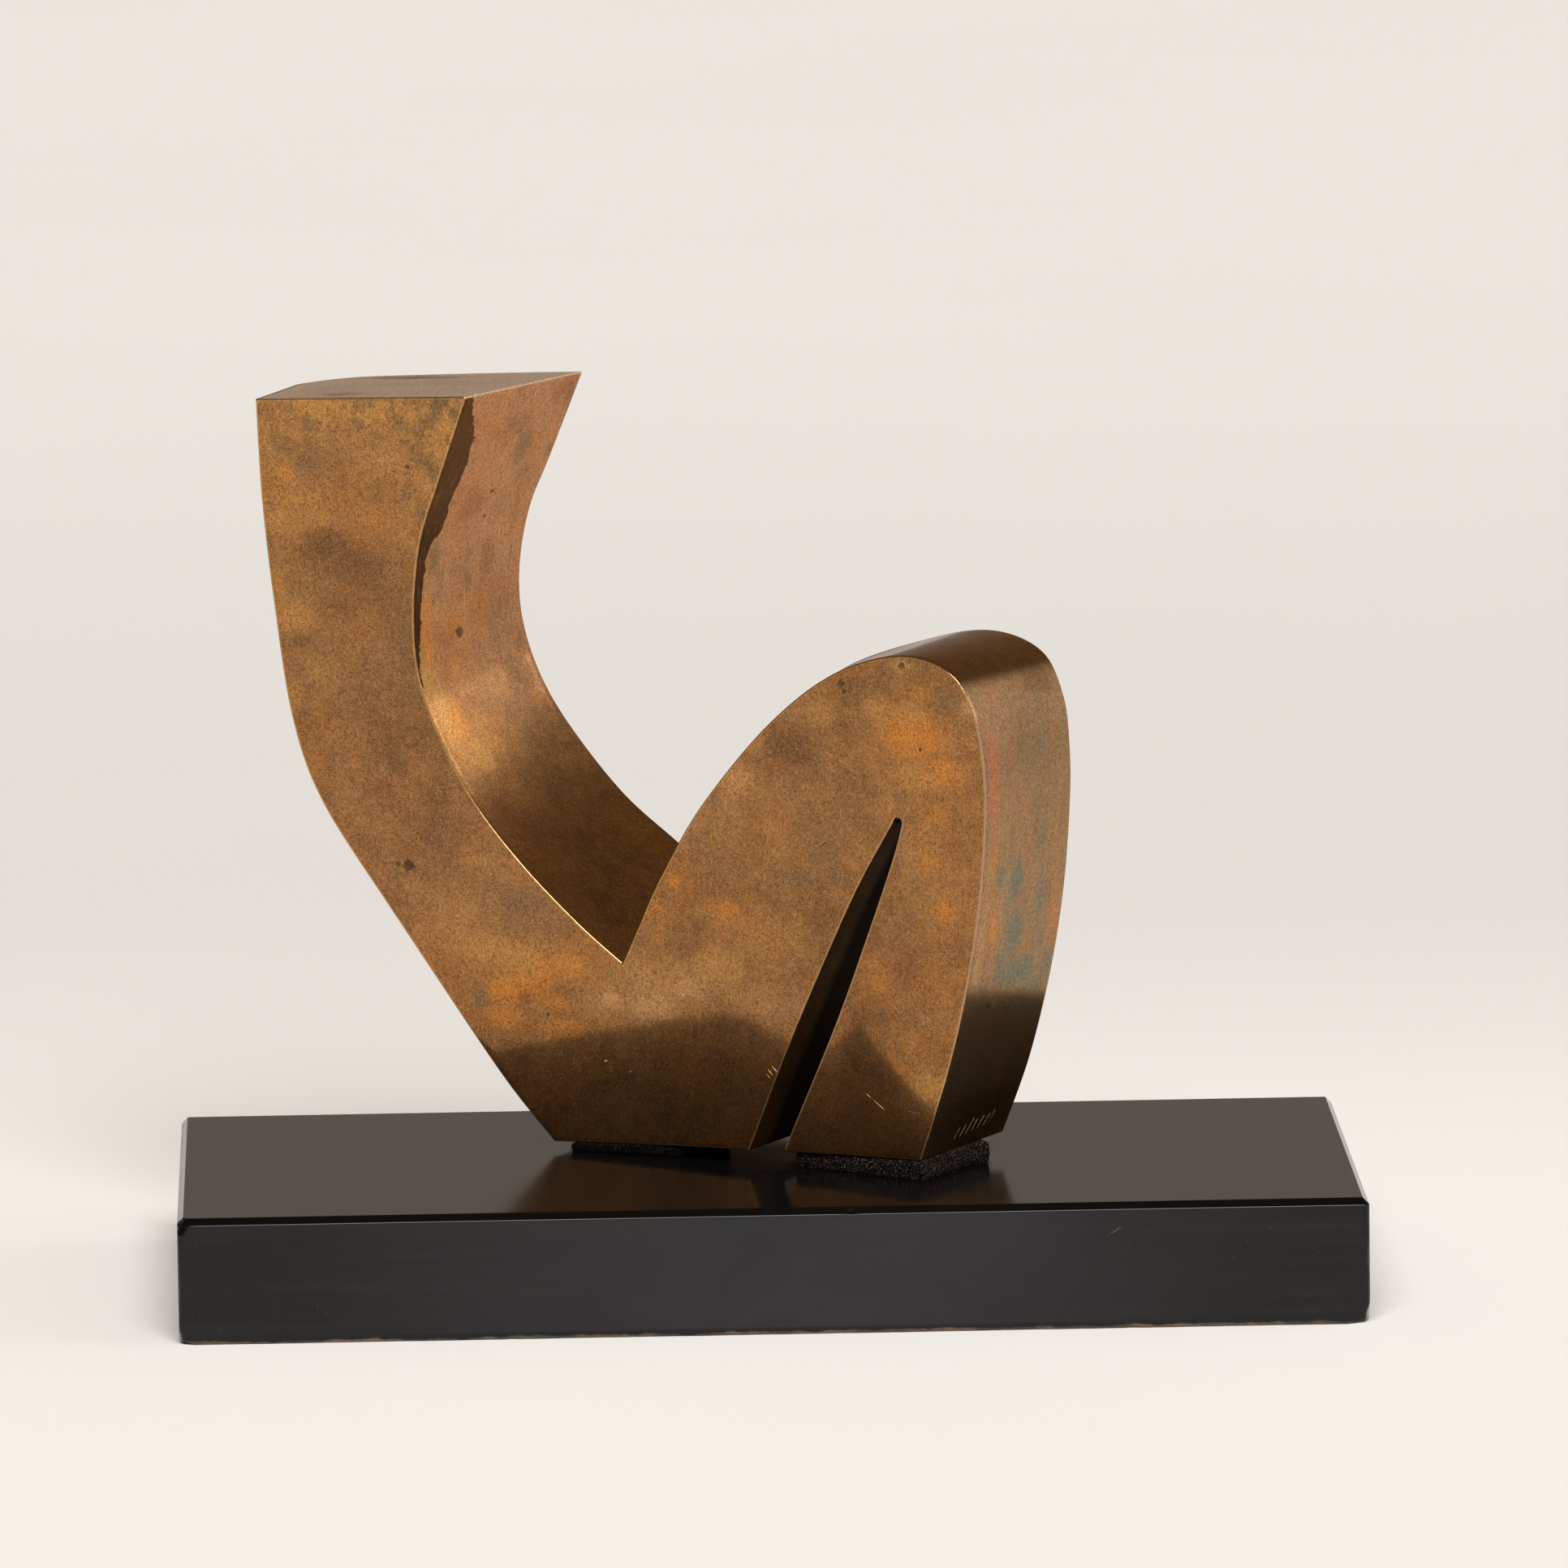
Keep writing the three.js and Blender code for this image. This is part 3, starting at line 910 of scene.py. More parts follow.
def unit(rows: np.ndarray) -> np.ndarray:
    """Scale each row to a length of one."""
    return rows / np.linalg.norm(rows, axis=-1, keepdims=True)


def band_faces(near: int, far: int, count: int) -> Faces:
    """Quads between two rings of count points, from the index of each ring's first point."""
    return [(near + i, far + i, far + (i + 1) % count, near + (i + 1) % count) for i in range(count)]


def spline(knots: np.ndarray, shares: np.ndarray) -> np.ndarray:
    """Run an even Catmull-Rom curve through knots.

    Args:
        knots: The knots, one in each row.
        shares: Shares of the way from the first to the last knot.

    Returns:
        The curve's points, one row for each share.
    """
    last = len(knots) - 1
    if last == 1:
        return knots[0] + (knots[1] - knots[0]) * shares[:, None]
    along = shares * last
    index = np.minimum(along.astype(int), last - 1)
    w = (along - index)[:, None]
    p0, p1 = knots[np.maximum(index - 1, 0)], knots[index]
    p2, p3 = knots[index + 1], knots[np.minimum(index + 2, last)]
    v0, v1 = (p2 - p0) / 2, (p3 - p1) / 2
    return (2 * p1 - 2 * p2 + v0 + v1) * w**3 + (-3 * p1 + 3 * p2 - 2 * v0 - v1) * w**2 + v0 * w + p1


def nearest_on_path(points: np.ndarray, path: np.ndarray, closed: bool) -> tuple[np.ndarray, np.ndarray]:
    """Find the nearest place on a path.

    Args:
        points: Points, one in each row.
        path: The path's points.
        closed: Whether the last point joins the first.

    Returns:
        The distances, and the places as path index plus share of the next segment.
    """
    start = path if closed else path[:-1]
    end = np.roll(path, -1, axis=0) if closed else path[1:]
    along = end - start
    length = (along**2).sum(1) + 1e-12
    best = np.full(len(points), np.inf)
    place = np.zeros(len(points))
    batch = 2000
    for first in range(0, len(points), batch):
        chunk = points[first : first + batch]
        share = np.clip(((chunk[:, None] - start) * along).sum(2) / length, 0, 1)
        apart = np.linalg.norm(chunk[:, None] - (start + along * share[..., None]), axis=2)
        k = apart.argmin(1)
        rows = np.arange(len(chunk))
        best[first : first + batch] = apart[rows, k]
        place[first : first + batch] = k + share[rows, k]
    return best, place


def is_inside(points: np.ndarray, ring: np.ndarray) -> np.ndarray:
    """Tell which points lie inside a closed ring.

    Args:
        points: Points in a plane.
        ring: The ring's points.

    Returns:
        A truth value for each point.
    """
    nxt = np.roll(ring, -1, axis=0)
    x, y = points[:, 0][:, None], points[:, 1][:, None]
    spans = (ring[:, 1] > y) != (nxt[:, 1] > y)
    crossing = ring[:, 0] + (y - ring[:, 1]) * (nxt[:, 0] - ring[:, 0]) / (nxt[:, 1] - ring[:, 1] + 1e-12)
    return (spans & (x < crossing)).sum(1) % 2 == 1


def clear_inside(points: np.ndarray, ring: np.ndarray, margin: float) -> np.ndarray:
    """Keep the points inside a closed ring that lie further than a margin from its border."""
    points = points[is_inside(points, ring)]
    return points[nearest_on_path(points, ring, True)[0] > margin]


def even_inside(ring: np.ndarray, spacing: float) -> np.ndarray:
    """Lay an even square grid in the box around a ring.

    Args:
        ring: The ring's points.
        spacing: Distance between neighbours, at least.

    Returns:
        The grid's points.
    """
    border = spacing * 0.7
    low, high = ring.min(0) + border, ring.max(0) - border
    x, y = (np.linspace(low[axis], high[axis], int((high[axis] - low[axis]) / spacing)) for axis in range(2))
    return np.stack(np.meshgrid(x, y), -1).reshape(-1, 2)


def fill_ring(ring: np.ndarray, inner: np.ndarray) -> Faces:
    """Cut a ring and the points inside it into even triangles.

    Args:
        ring: The ring's points, counter-clockwise.
        inner: Points inside the ring.

    Returns:
        Triangles as indices into the ring followed by the inner points.
    """
    flat = [Vector((float(x), float(y))) for x, y in np.vstack([ring, inner])]
    border = [list(range(len(ring)))]
    _, _, faces, originals, _, _ = delaunay_2d_cdt(flat, [], border, 1, 1e-6, True)
    first = [ids[0] if ids else -1 for ids in originals]
    triangles = np.array([[first[i] for i in face] for face in faces])
    middles = np.vstack([ring, inner])[triangles].mean(1)
    kept = (triangles.min(1) >= 0) & is_inside(middles, ring)
    return [tuple(triangle) for triangle in triangles[kept].tolist()]


class MeshDraft:
    """The points and faces of a closed mesh: a tube of rings with a cap at either end."""

    def __init__(self, rings: Sequence[np.ndarray], upward: bool) -> None:
        """Start with the tube.

        Args:
            rings: Closed rings with the same number of points.
            upward: Whether the rings rise while they turn counter-clockwise, seen from the last one.
        """
        self.count = len(rings[0])
        self.points = np.vstack(rings)
        self.faces: Faces = []
        for near in range(0, len(self.points) - self.count, self.count):
            ends = (near + self.count, near) if upward else (near, near + self.count)
            self.faces += band_faces(*ends, self.count)

    def cap(self, ring: int, border: np.ndarray, flat: np.ndarray, inner: np.ndarray, flip: bool) -> None:
        """Close one end of the tube.

        Args:
            ring: Index of the ring.
            border: The ring's points in a plane.
            flat: The points inside it in that plane.
            inner: The same points in space.
            flip: Whether the triangles turn over.
        """
        first, start = ring * self.count, len(self.points) - self.count
        for a, b, c in fill_ring(border, flat):
            order = (a, c, b) if flip else (a, b, c)
            self.faces.append(tuple(first + i if i < self.count else start + i for i in order))
        self.points = np.vstack([self.points, inner])


def store_values(mesh: bpy.types.Mesh, name: str, values: np.ndarray) -> None:
    """Store a number or a colour on each point of a mesh.

    Args:
        mesh: The mesh.
        name: The value's name.
        values: One number for each point, or three.
    """
    if values.ndim == 1:
        mesh.attributes.new(name, "FLOAT", "POINT").data.foreach_set("value", values.astype(np.float32))
        return
    full = np.ones((len(values), 4), np.float32)
    full[:, :3] = values
    mesh.attributes.new(name, "FLOAT_COLOR", "POINT").data.foreach_set("color", full.ravel())


def read_table(values: np.ndarray, table: Sequence[Point2]) -> np.ndarray:
    """Read a table of rising pairs, evenly between its rows and flat beyond its ends."""
    return np.interp(values, *np.array(table, float).T)


def wall_edges(knots: Sequence[Knot], shares: np.ndarray) -> tuple[np.ndarray, np.ndarray]:
    """Run curves through a wall's knots: its front edge and its back edge, in x and z."""
    rows = np.array(knots, float)
    return spline(rows[:, :2], shares), spline(rows[:, 2:], shares)


class Wall(IntEnum):
    """The stretches of the figure's outline in order, and none of them for its front and back faces."""

    NONE = -1
    SOLE_LEFT = 0
    SLIT_LEFT = 1
    SLIT_TIP = 2
    SLIT_RIGHT = 3
    SOLE_RIGHT = 4
    SHIN = 5
    CHEST = 6
    CROWN = 7
    FLANK = 8


@dataclass(frozen=True)
class Stretch:
    """A stretch of the figure's outline: its knots (x and z at the front, x and z at the back) and steps."""

    wall: Wall
    knots: tuple[Knot, ...]
    steps: int


def straight(x: float, z: float) -> Knot:
    """A knot whose wall runs straight back with the common drift."""
    return (x, z, x - DRIFT, z)


@dataclass
class FigureShape:
    """The figure's outline, faces and place on the block, the same as the CAD solid's."""

    origin: Axes = (1.05, -14.5, 33.78)
    turn: float = math.radians(-32)
    tilt: float = math.radians(-1.8)
    left_foot: Point2 = (-59.3, -6.0)
    right_foot: Point2 = (3.0, 42.0)
    slit_tip: Axes = (41.2, 81.2, 1.2)
    valley: Knot = (-37.6, 44.1, -40.5, 58.5)
    top_right: Knot = (-68.9, 180.7, -69.1, 180.5)
    top_left: Knot = (-124.2, 179.7, -134.5, 179.5)
    flank_round: Point2 = (15.0, 4.0)
    front_round: float = 0.38
    back_round: float = 0.8
    front_lean: float = 0.05
    front_hollow: float = 0.0006
    back_depth: float = 48.8
    back_lean: float = 0.012
    back_swell: float = 0.00165
    back_middle: float = -21.0
    wall_depth: float = 47.0
    rising_knots: int = 10
    legs_part: float = 14.0
    relief_fade: tuple[Point2, ...] = ((38, 1), (50, 0.8), (64, 0.2), (78, 0))
    left_relief: float = 0.4
    left_slopes: tuple[Point2, ...] = (
        (-34, 0), (-13, -0.0305), (-9, -0.0305), (-4, -0.0288),
        (0, -0.0277), (4, -0.0228), (8, -0.0157), (12, -0.01),
    )
    left_twist: float = 0.0055
    left_twist_middle: float = 31.0
    left_twist_fade: tuple[Point2, ...] = ((-34, 1), (-13, 0))
    right_relief: float = 0.45
    right_slopes: tuple[Point2, ...] = (
        (17.5, -0.003), (20, -0.029), (22, -0.0465), (25, -0.0595), (27.2, -0.0725), (28.5, -0.066),
        (31, -0.053), (35, -0.038), (40, -0.010), (44, 0.016), (47.5, 0.027),
    )
    stretches: list[Stretch] = field(default_factory=list)

    def __post_init__(self) -> None:
        """Lay out the outline's stretches, counter-clockwise seen from the front."""
        foot_left = (self.left_foot[0], 0.0, -62.0, 0.0)
        slit_left, slit_right = straight(self.left_foot[1], 0), straight(self.right_foot[0], 0)
        foot_right = straight(self.right_foot[1], 0)
        x, z, radius = self.slit_tip
        left_side = ((4.7, 21.3), (16.7, 43.5), (28.9, 65), (x - radius, z))
        right_side = ((x + radius, z), (39.2, 72.6), (30.8, 54), (19.9, 31.8))
        shin = (
            (50.4, 19.7, 49, 19), (57.5, 40.5, 56.9, 40.5), (63, 62, 62.4, 61.5),
            (66.2, 82, 65.6, 82.5), (66.8, 96, 66.2, 95.5), (64.9, 108, 64.9, 107),
            (59.1, 117.6, 58.7, 117.2), (45.5, 121.5, 43.8, 121.3), (26.2, 116.5, 24.4, 118.4),
            (6.8, 103.4, -3, 109.2), (-12.8, 83.4, -20, 93), (-25.3, 65.8, -32, 74),
            (-32.2, 53.8, -37.6, 63.6),
        )
        chest = (
            (-48.9, 53.5, -51.1, 66.9), (-62.6, 67.4, -63.4, 77.4), (-73.9, 81.9, -74.8, 91.5),
            (-81.6, 97, -82.6, 104.6), (-86.4, 112, -87, 118.5), (-86.9, 127, -87.5, 132),
            (-84, 144.8, -84.4, 146.8), (-77.9, 160, -78.2, 160.5),
        )
        flank = (
            (-124.5, 156, -134.8, 156), (-123.2, 129, -132.7, 129), (-120.6, 102, -129, 102),
            (-114.5, 82, -121.5, 82), (-99.9, 57.8, -105.8, 57.8), (-83.9, 33.1, -88.1, 33.1),
            (-70.6, 13.7, -73.8, 13.7),
        )
        self.stretches = [
            Stretch(Wall.SOLE_LEFT, (foot_left, slit_left), 44),
            Stretch(Wall.SLIT_LEFT, (slit_left, *(straight(*point) for point in left_side)), 72),
            Stretch(Wall.SLIT_TIP, (straight(x, z),), 10),
            Stretch(Wall.SLIT_RIGHT, (*(straight(*point) for point in right_side), slit_right), 72),
            Stretch(Wall.SOLE_RIGHT, (slit_right, foot_right), 32),
            Stretch(Wall.SHIN, (foot_right, *shin, self.valley), 220),
            Stretch(Wall.CHEST, (self.valley, *chest, self.top_right), 135),
            Stretch(Wall.CROWN, (self.top_right, self.top_left), 50),
            Stretch(Wall.FLANK, (self.top_left, *flank, foot_left), 160),
        ]

    def outline(self) -> tuple[np.ndarray, np.ndarray, np.ndarray]:
        """Sample the outline.

        Returns:
            Front points, back points, and for each the stretch that it belongs to.
        """
        front, back, owner = [], [], []
        for stretch in self.stretches:
            shares = np.arange(stretch.steps) / stretch.steps
            if stretch.wall is Wall.SLIT_TIP:
                x, z, radius = self.slit_tip
                angle = math.pi * (1 - shares)
                near = np.stack([x + radius * np.cos(angle), z + radius * np.sin(angle)], 1)
                far = near - (DRIFT, 0)
            else:
                near, far = wall_edges(stretch.knots, shares)
            front.append(near)
            back.append(far)
            owner.append(np.full(stretch.steps, int(stretch.wall)))
        return np.vstack(front), np.vstack(back), np.concatenate(owner)

    def front_y(self, flat: np.ndarray) -> np.ndarray:
        """Depth of the front face at points in x and z."""
        x, z = flat[..., 0], flat[..., 1]
        return -(self.front_lean * z + self.front_hollow * x**2)

    def back_y(self, flat: np.ndarray) -> np.ndarray:
        """Depth of the back face, without the flank's round, at points in x and z."""
        x, z = flat[..., 0], flat[..., 1]
        return self.back_depth - self.back_lean * z - self.back_swell * (x - self.back_middle) ** 2

    def axes(self) -> np.ndarray:
        """The directions of the figure's own axes on the block, one in each column."""
        return np.array(Matrix.Rotation(self.turn, 3, "Z") @ Matrix.Rotation(self.tilt, 3, "Y"))

    def to_world(self, points: np.ndarray) -> np.ndarray:
        """Carry points from the figure's frame to the row's frame, in millimetres."""
        return points @ self.axes().T + np.array(self.origin)

    def relief(self, flat: np.ndarray) -> np.ndarray:
        """How far the front of either leg dips or swells, as the mirrored edge of the block shows it.

        Args:
            flat: Points in x and z.

        Returns:
            Depths in millimetres.
        """
        x, z = flat[:, 0], flat[:, 1]
        edge = wall_edges(self.stretches[Wall.SLIT_RIGHT].knots, np.linspace(0, 1, 80))[0][::-1]
        slit = np.interp(z, edge[:, 1], edge[:, 0])
        places = np.linspace(-40, 60, 401)
        step = places[1] - places[0]
        legs = []
        for start, slopes, within in (
            (self.left_relief, self.left_slopes, places < self.legs_part),
            (self.right_relief, self.right_slopes, places > self.legs_part),
        ):
            rise = np.cumsum(read_table(places, slopes) * within) * step
            legs.append(start + np.interp(x, places, rise))
        twist = self.left_twist * (z - self.left_twist_middle) * read_table(x, self.left_twist_fade)
        return np.where(x > slit - 1.0, legs[1], legs[0] + twist) * read_table(z, self.relief_fade)

    def point(self, place: Place, across: float, z: float, lift: float = 0.0) -> np.ndarray:
        """Find a point on the front face, on the outer shin or on the wall inside the lap.

        Args:
            place: The face.
            across: Its x on the front face, or its depth behind the front edge on a wall.
            z: Its height.
            lift: How far it stands off the face.

        Returns:
            The point in the figure's frame.
        """
        if place is Place.FRONT:
            flat = np.array([[across, z]])
            return np.array([across, float(self.front_y(flat)[0]) + float(self.relief(flat)[0]) - lift, z])
        wall = Wall.SHIN if place is Place.SHIN else Wall.CHEST
        knots = self.stretches[wall].knots[: self.rising_knots]
        front, back = wall_edges(knots, np.linspace(0, 1, 400))
        line = front + (back - front) * (across / self.wall_depth)
        rising = line[np.concatenate([[True], np.diff(line[:, 1]) > 0])]
        rising = rising[np.argsort(rising[:, 1])]
        x = np.interp(z, rising[:, 1], rising[:, 0])
        return np.array([x + lift, float(self.front_y(np.array([x, z]))) + across, z])


STAINS: dict[Place, dict[Tint, tuple[Patch, ...]]] = {
    Place.FRONT: {
        Tint.OCHRE: (
            (-110, 177, 9, 4, 0.8), (-98, 177, 9, 5, 0.9), (-88, 176, 8, 6, 0.9), (-75, 174, 3, 3, 0.9),
            (-80, 178, 4, 2, 0.5), (-78, 168, 5, 6, 0.7), (-82, 160, 4, 8, 0.6), (-122, 170, 3, 8, 0.5),
            (-119, 150, 6, 4, 0.8), (-111, 151, 6, 3, 0.8), (-113, 156, 5, 4, 0.6), (-97, 153, 9, 6, 0.35),
            (-121, 133, 3, 12, 0.6), (-118, 127, 7, 5, 0.7), (-113, 113, 5, 6, 0.5), (-119, 108, 4, 8, 0.5),
            (-90, 165, 7, 7, 0.5), (-93, 62, 6, 4, 0.5), (-97, 75, 5, 5, 0.4), (-75, 47, 9, 4, 0.8),
            (-66, 45, 8, 4, 0.9), (-74, 68, 5, 3, 0.5), (-82, 52, 8, 5, 0.4), (-58, 47, 6, 3, 0.5),
            (-12, 44, 9, 6, 0.8), (-24, 57, 6, 5, 0.4), (3, 100, 4, 4, 0.8), (-3, 91, 7, 6, 0.6),
            (22, 107, 8, 5, 0.6), (38, 109, 7, 4, 0.7), (46, 108, 9, 4, 0.6), (46, 92, 8, 6, 0.6),
            (40, 86, 6, 4, 0.5), (54, 62, 5, 6, 0.4), (40, 26, 7, 5, 0.35), (46, 18, 6, 4, 0.9),
            (-2, 50, 8, 6, 0.4), (8, 52, 8, 6, 0.35), (12, 36, 6, 5, 0.4), (-8, 38, 8, 4, 0.5),
            (-50, 42, 8, 4, 0.5), (-25, 42, 24, 10, 0.5), (45, 70, 14, 30, 0.3), (28, 90, 24, 16, 0.3),
            (0, 76, 18, 14, 0.3),
        ),
        Tint.ORANGE: (
            (-118, 162, 4, 3, 0.7), (-119, 157, 6, 5, 0.5), (-102, 158, 9, 5, 0.45), (-96, 150, 10, 5, 0.5),
            (-110, 154, 5, 4, 0.4), (-66, 37, 9, 5, 0.95), (-60, 42, 9, 4, 0.7), (-53, 43, 7, 4, 0.8),
            (-56, 34, 7, 4, 0.6), (-70, 30, 7, 4, 0.7), (-55, 28, 10, 3, 0.6), (-75, 42, 6, 4, 0.4),
            (-22, 65, 6, 4, 0.5), (-8, 58, 6, 4, 0.6), (-28, 58, 5, 5, 0.5), (0, 54, 6, 4, 0.4),
            (47, 102, 11, 7, 0.85), (54, 94, 9, 6, 0.7), (44, 102, 8, 4, 0.6), (50, 112, 6, 5, 0.5),
            (54, 84, 8, 6, 0.5), (50, 72, 5, 4, 0.5), (53, 60, 6, 5, 0.6), (33, 42, 5, 6, 0.5),
            (50, 45, 6, 6, 0.4), (44, 28, 8, 5, 0.4), (38, 22, 6, 4, 0.5),
        ),
        Tint.PALE: (
            (-94, 166, 7, 4, 0.35), (-42, 35, 8, 4, 0.55), (-30, 34, 12, 5, 0.6), (-20, 38, 10, 5, 0.5),
            (-34, 40, 6, 4, 0.4), (2, 36, 8, 4, 0.4), (-14, 82, 6, 6, 0.35), (-6, 84, 5, 5, 0.35),
            (12, 107, 4, 2, 0.5), (-4, 90, 5, 4, 0.4), (45, 119, 4, 2, 0.5), (63, 110, 3, 3, 0.5),
            (-86, 58, 5, 4, 0.3), (-78, 55, 5, 4, 0.25), (43, 74, 2, 6, 0.3),
        ),
        Tint.RUST: (
            (-106, 127, 7, 4, 0.4), (-97, 98, 8, 5, 0.5), (-98, 84, 9, 6, 0.5), (-88, 74, 7, 5, 0.55),
            (-104, 72, 4, 5, 0.35), (-84, 40, 5, 5, 0.5), (-74, 29, 4, 3, 0.6), (-46, 43, 6, 4, 0.4),
            (-50, 50, 8, 3, 0.35), (-20, 59, 5, 4, 0.6), (-14, 64, 8, 4, 0.6), (-18, 49, 4, 3, 0.6),
            (-12, 52, 5, 3, 0.4), (2, 82, 4, 4, 0.5), (-2, 74, 5, 5, 0.4), (9, 93, 6, 4, 0.6),
            (27, 100, 5, 4, 0.4), (56, 76, 7, 4, 0.6), (56, 50, 5, 5, 0.45), (42, 46, 6, 6, 0.8),
            (38, 52, 4, 5, 0.5), (50, 28, 5, 4, 0.5), (30, 36, 3, 4, 0.4), (-98, 145, 8, 5, 0.4),
            (-90, 104, 6, 6, 0.4), (48, 40, 5, 5, 0.4),
        ),
        Tint.SMOKE: (
            (-109, 144, 9, 6, 0.75), (-102, 139, 13, 7, 0.65), (-95, 133, 10, 6, 0.5),
            (-100, 112, 12, 8, 0.3),
            (-92, 92, 8, 7, 0.35), (-85, 83, 5, 6, 0.5), (-64, 35, 4, 3, 0.6), (11, 99, 7, 4, 0.75),
            (15, 96, 6, 4, 0.6), (8, 95, 5, 3, 0.5), (28, 104, 3, 5, 0.55), (30, 111, 4, 3, 0.45),
            (44, 47, 4, 5, 0.35), (20, 92, 8, 4, 0.35), (30, 96, 6, 4, 0.3), (-117, 121, 3, 2, 0.7),
            (-117, 104, 3, 3, 0.6),
        ),
        Tint.OLIVE: (
            (-76, 177, 7, 4, 0.8), (-82, 172, 3, 4, 0.6), (-90, 179, 10, 2, 0.4), (-79, 161, 2, 3, 0.9),
            (-83, 153, 2, 4, 0.8), (-90, 122, 5, 12, 0.55), (-88, 108, 3, 9, 0.5), (-93, 132, 6, 6, 0.4),
            (-112, 166, 5, 5, 0.5), (-118, 172, 4, 6, 0.4), (57, 111, 6, 3, 0.9), (61, 107, 3, 3, 0.5),
            (20, 74, 9, 7, 0.6), (13, 67, 7, 4, 0.7), (23, 67, 4, 3, 0.7), (33, 78, 5, 5, 0.4),
            (27, 84, 6, 5, 0.35), (45, 66, 3, 5, 0.5), (-104, 105, 6, 5, 0.3), (34, 112, 4, 3, 0.6),
            (60, 85, 3, 8, 0.25), (-62, 56, 8, 4, 0.4),
        ),
        Tint.SLATE: (
            (-113, 163, 7, 5, 0.6), (-97, 169, 6, 3, 0.35), (-86, 56, 6, 4, 0.3), (-85, 85, 5, 4, 0.4),
            (-84, 75, 5, 4, 0.55), (-75, 80, 6, 4, 0.4), (-62, 58, 9, 5, 0.6), (-55, 54, 8, 3, 0.4),
            (-64, 34, 4, 3, 0.8), (-76, 35, 3, 4, 0.8), (-73, 27, 5, 3, 0.5), (-82, 60, 5, 4, 0.3),
            (60, 97, 3, 3, 0.6), (10, 88, 5, 4, 0.4), (-10, 70, 6, 4, 0.4), (-6, 66, 5, 3, 0.4),
        ),
    },
    Place.CHEST: {
        # Painted shade: these smoke patches on the back part of the wall dim the soft box's reflection
        # there.
        Tint.SMOKE: ((41, 108, 8, 6, 0.8), (43, 98, 9, 6, 0.35), (46, 115, 5, 5, 0.5)),
        Tint.SLATE: (
            (37, 164, 5, 6, 0.8), (40, 157, 7, 4, 0.5), (38, 122, 8, 12, 0.5), (30, 116, 6, 5, 0.35),
            (31, 171, 9, 5, 0.6),
            (37, 149, 6, 7, 0.5), (24, 139, 7, 9, 0.45), (44, 168, 4, 8, 0.4),
        ),
        Tint.OLIVE: ((8, 140, 4, 6, 0.8), (12, 135, 4, 5, 0.5), (26, 104, 8, 6, 0.4), (28, 92, 10, 7, 0.5)),
        Tint.RUST: (
            (21, 152, 9, 6, 0.6), (34, 137, 6, 8, 0.6), (44, 148, 4, 10, 0.5), (14, 166, 4, 8, 0.35),
            (8, 79, 4, 5, 0.8), (12, 74, 5, 5, 0.6), (26, 170, 5, 4, 0.5),
            (14, 118, 4, 5, 0.5), (10, 88, 5, 3, 0.5), (18, 104, 8, 3, 0.5), (46, 176, 5, 4, 0.5),
        ),
        Tint.ORANGE: (
            (14, 112, 6, 5, 0.5), (9, 100, 6, 8, 0.6), (22, 96, 8, 5, 0.4), (16, 160, 5, 8, 0.3),
            (20, 172, 8, 4, 0.4), (6, 122, 3, 12, 0.8), (20, 124, 9, 6, 0.5), (32, 128, 6, 4, 0.4),
        ),
        # The ochre patches at depth 3 to 5 mm and height 103 to 112 mm are partly a painted highlight: they
        # brighten the soft box's golden reflection along the wall's front edge.
        Tint.OCHRE: (
            (5, 103, 4, 12, 0.9), (12, 92, 7, 6, 0.7), (3, 112, 3, 8, 0.9), (13, 125, 5, 4, 0.5),
            (16, 84, 6, 4, 0.4),
        ),
        Tint.PALE: ((39, 146, 7, 5, 0.4), (35, 158, 6, 3, 0.3), (26, 160, 6, 6, 0.25), (12, 127, 4, 2, 0.4)),
        Tint.ROSE: ((20, 158, 10, 8, 0.4), (18, 172, 8, 5, 0.4), (28, 146, 8, 5, 0.5), (34, 174, 8, 5, 0.5)),
    },
    Place.SHIN: {
        Tint.SMOKE: (
            (20, 28, 14, 9, 0.35), (36, 22, 8, 12, 0.4), (24, 6, 26, 9, 0.9), (34, 112, 12, 7, 0.6),
        ),
        Tint.OLIVE: ((20, 102, 8, 12, 0.5), (30, 96, 8, 12, 0.35), (26, 80, 5, 10, 0.4)),
        Tint.ROSE: (
            (5, 98, 4, 8, 0.9), (4, 88, 3, 8, 0.8), (38, 54, 4, 12, 0.5), (36, 66, 4, 8, 0.4),
            (12, 84, 4, 6, 0.3),
        ),
        Tint.ORANGE: ((6, 73, 3, 10, 0.5), (8, 56, 3, 8, 0.6), (3, 66, 2, 10, 0.4)),
        Tint.VERDIGRIS: (
            (17, 66, 4, 6, 0.95), (9, 68, 3, 5, 0.7), (19, 53, 5, 7, 0.9), (23, 43, 12, 4, 0.95),
            (13, 60, 3, 5, 0.6),
            (39, 42, 4, 6, 0.8), (30, 60, 4, 8, 0.6), (14, 46, 4, 5, 0.7), (27, 74, 4, 5, 0.5),
            (34, 38, 6, 3, 0.7),
            (33, 50, 3, 5, 0.6), (24, 84, 3, 5, 0.4), (38, 70, 3, 6, 0.35), (10, 40, 5, 3, 0.5),
        ),
        Tint.PALE: ((3, 50, 2, 12, 0.5), (2, 38, 2, 6, 0.4), (12, 60, 3, 5, 0.3)),
    },
    Place.CROWN: {
        Tint.SMOKE: ((-107, 43, 14, 3, 0.9), (-118, 22, 8, 8, 0.35)),
        Tint.RUST: ((-107, 8, 10, 6, 0.6), (-85, 12, 10, 6, 0.3), (-92, 30, 20, 8, 0.4)),
    },
}


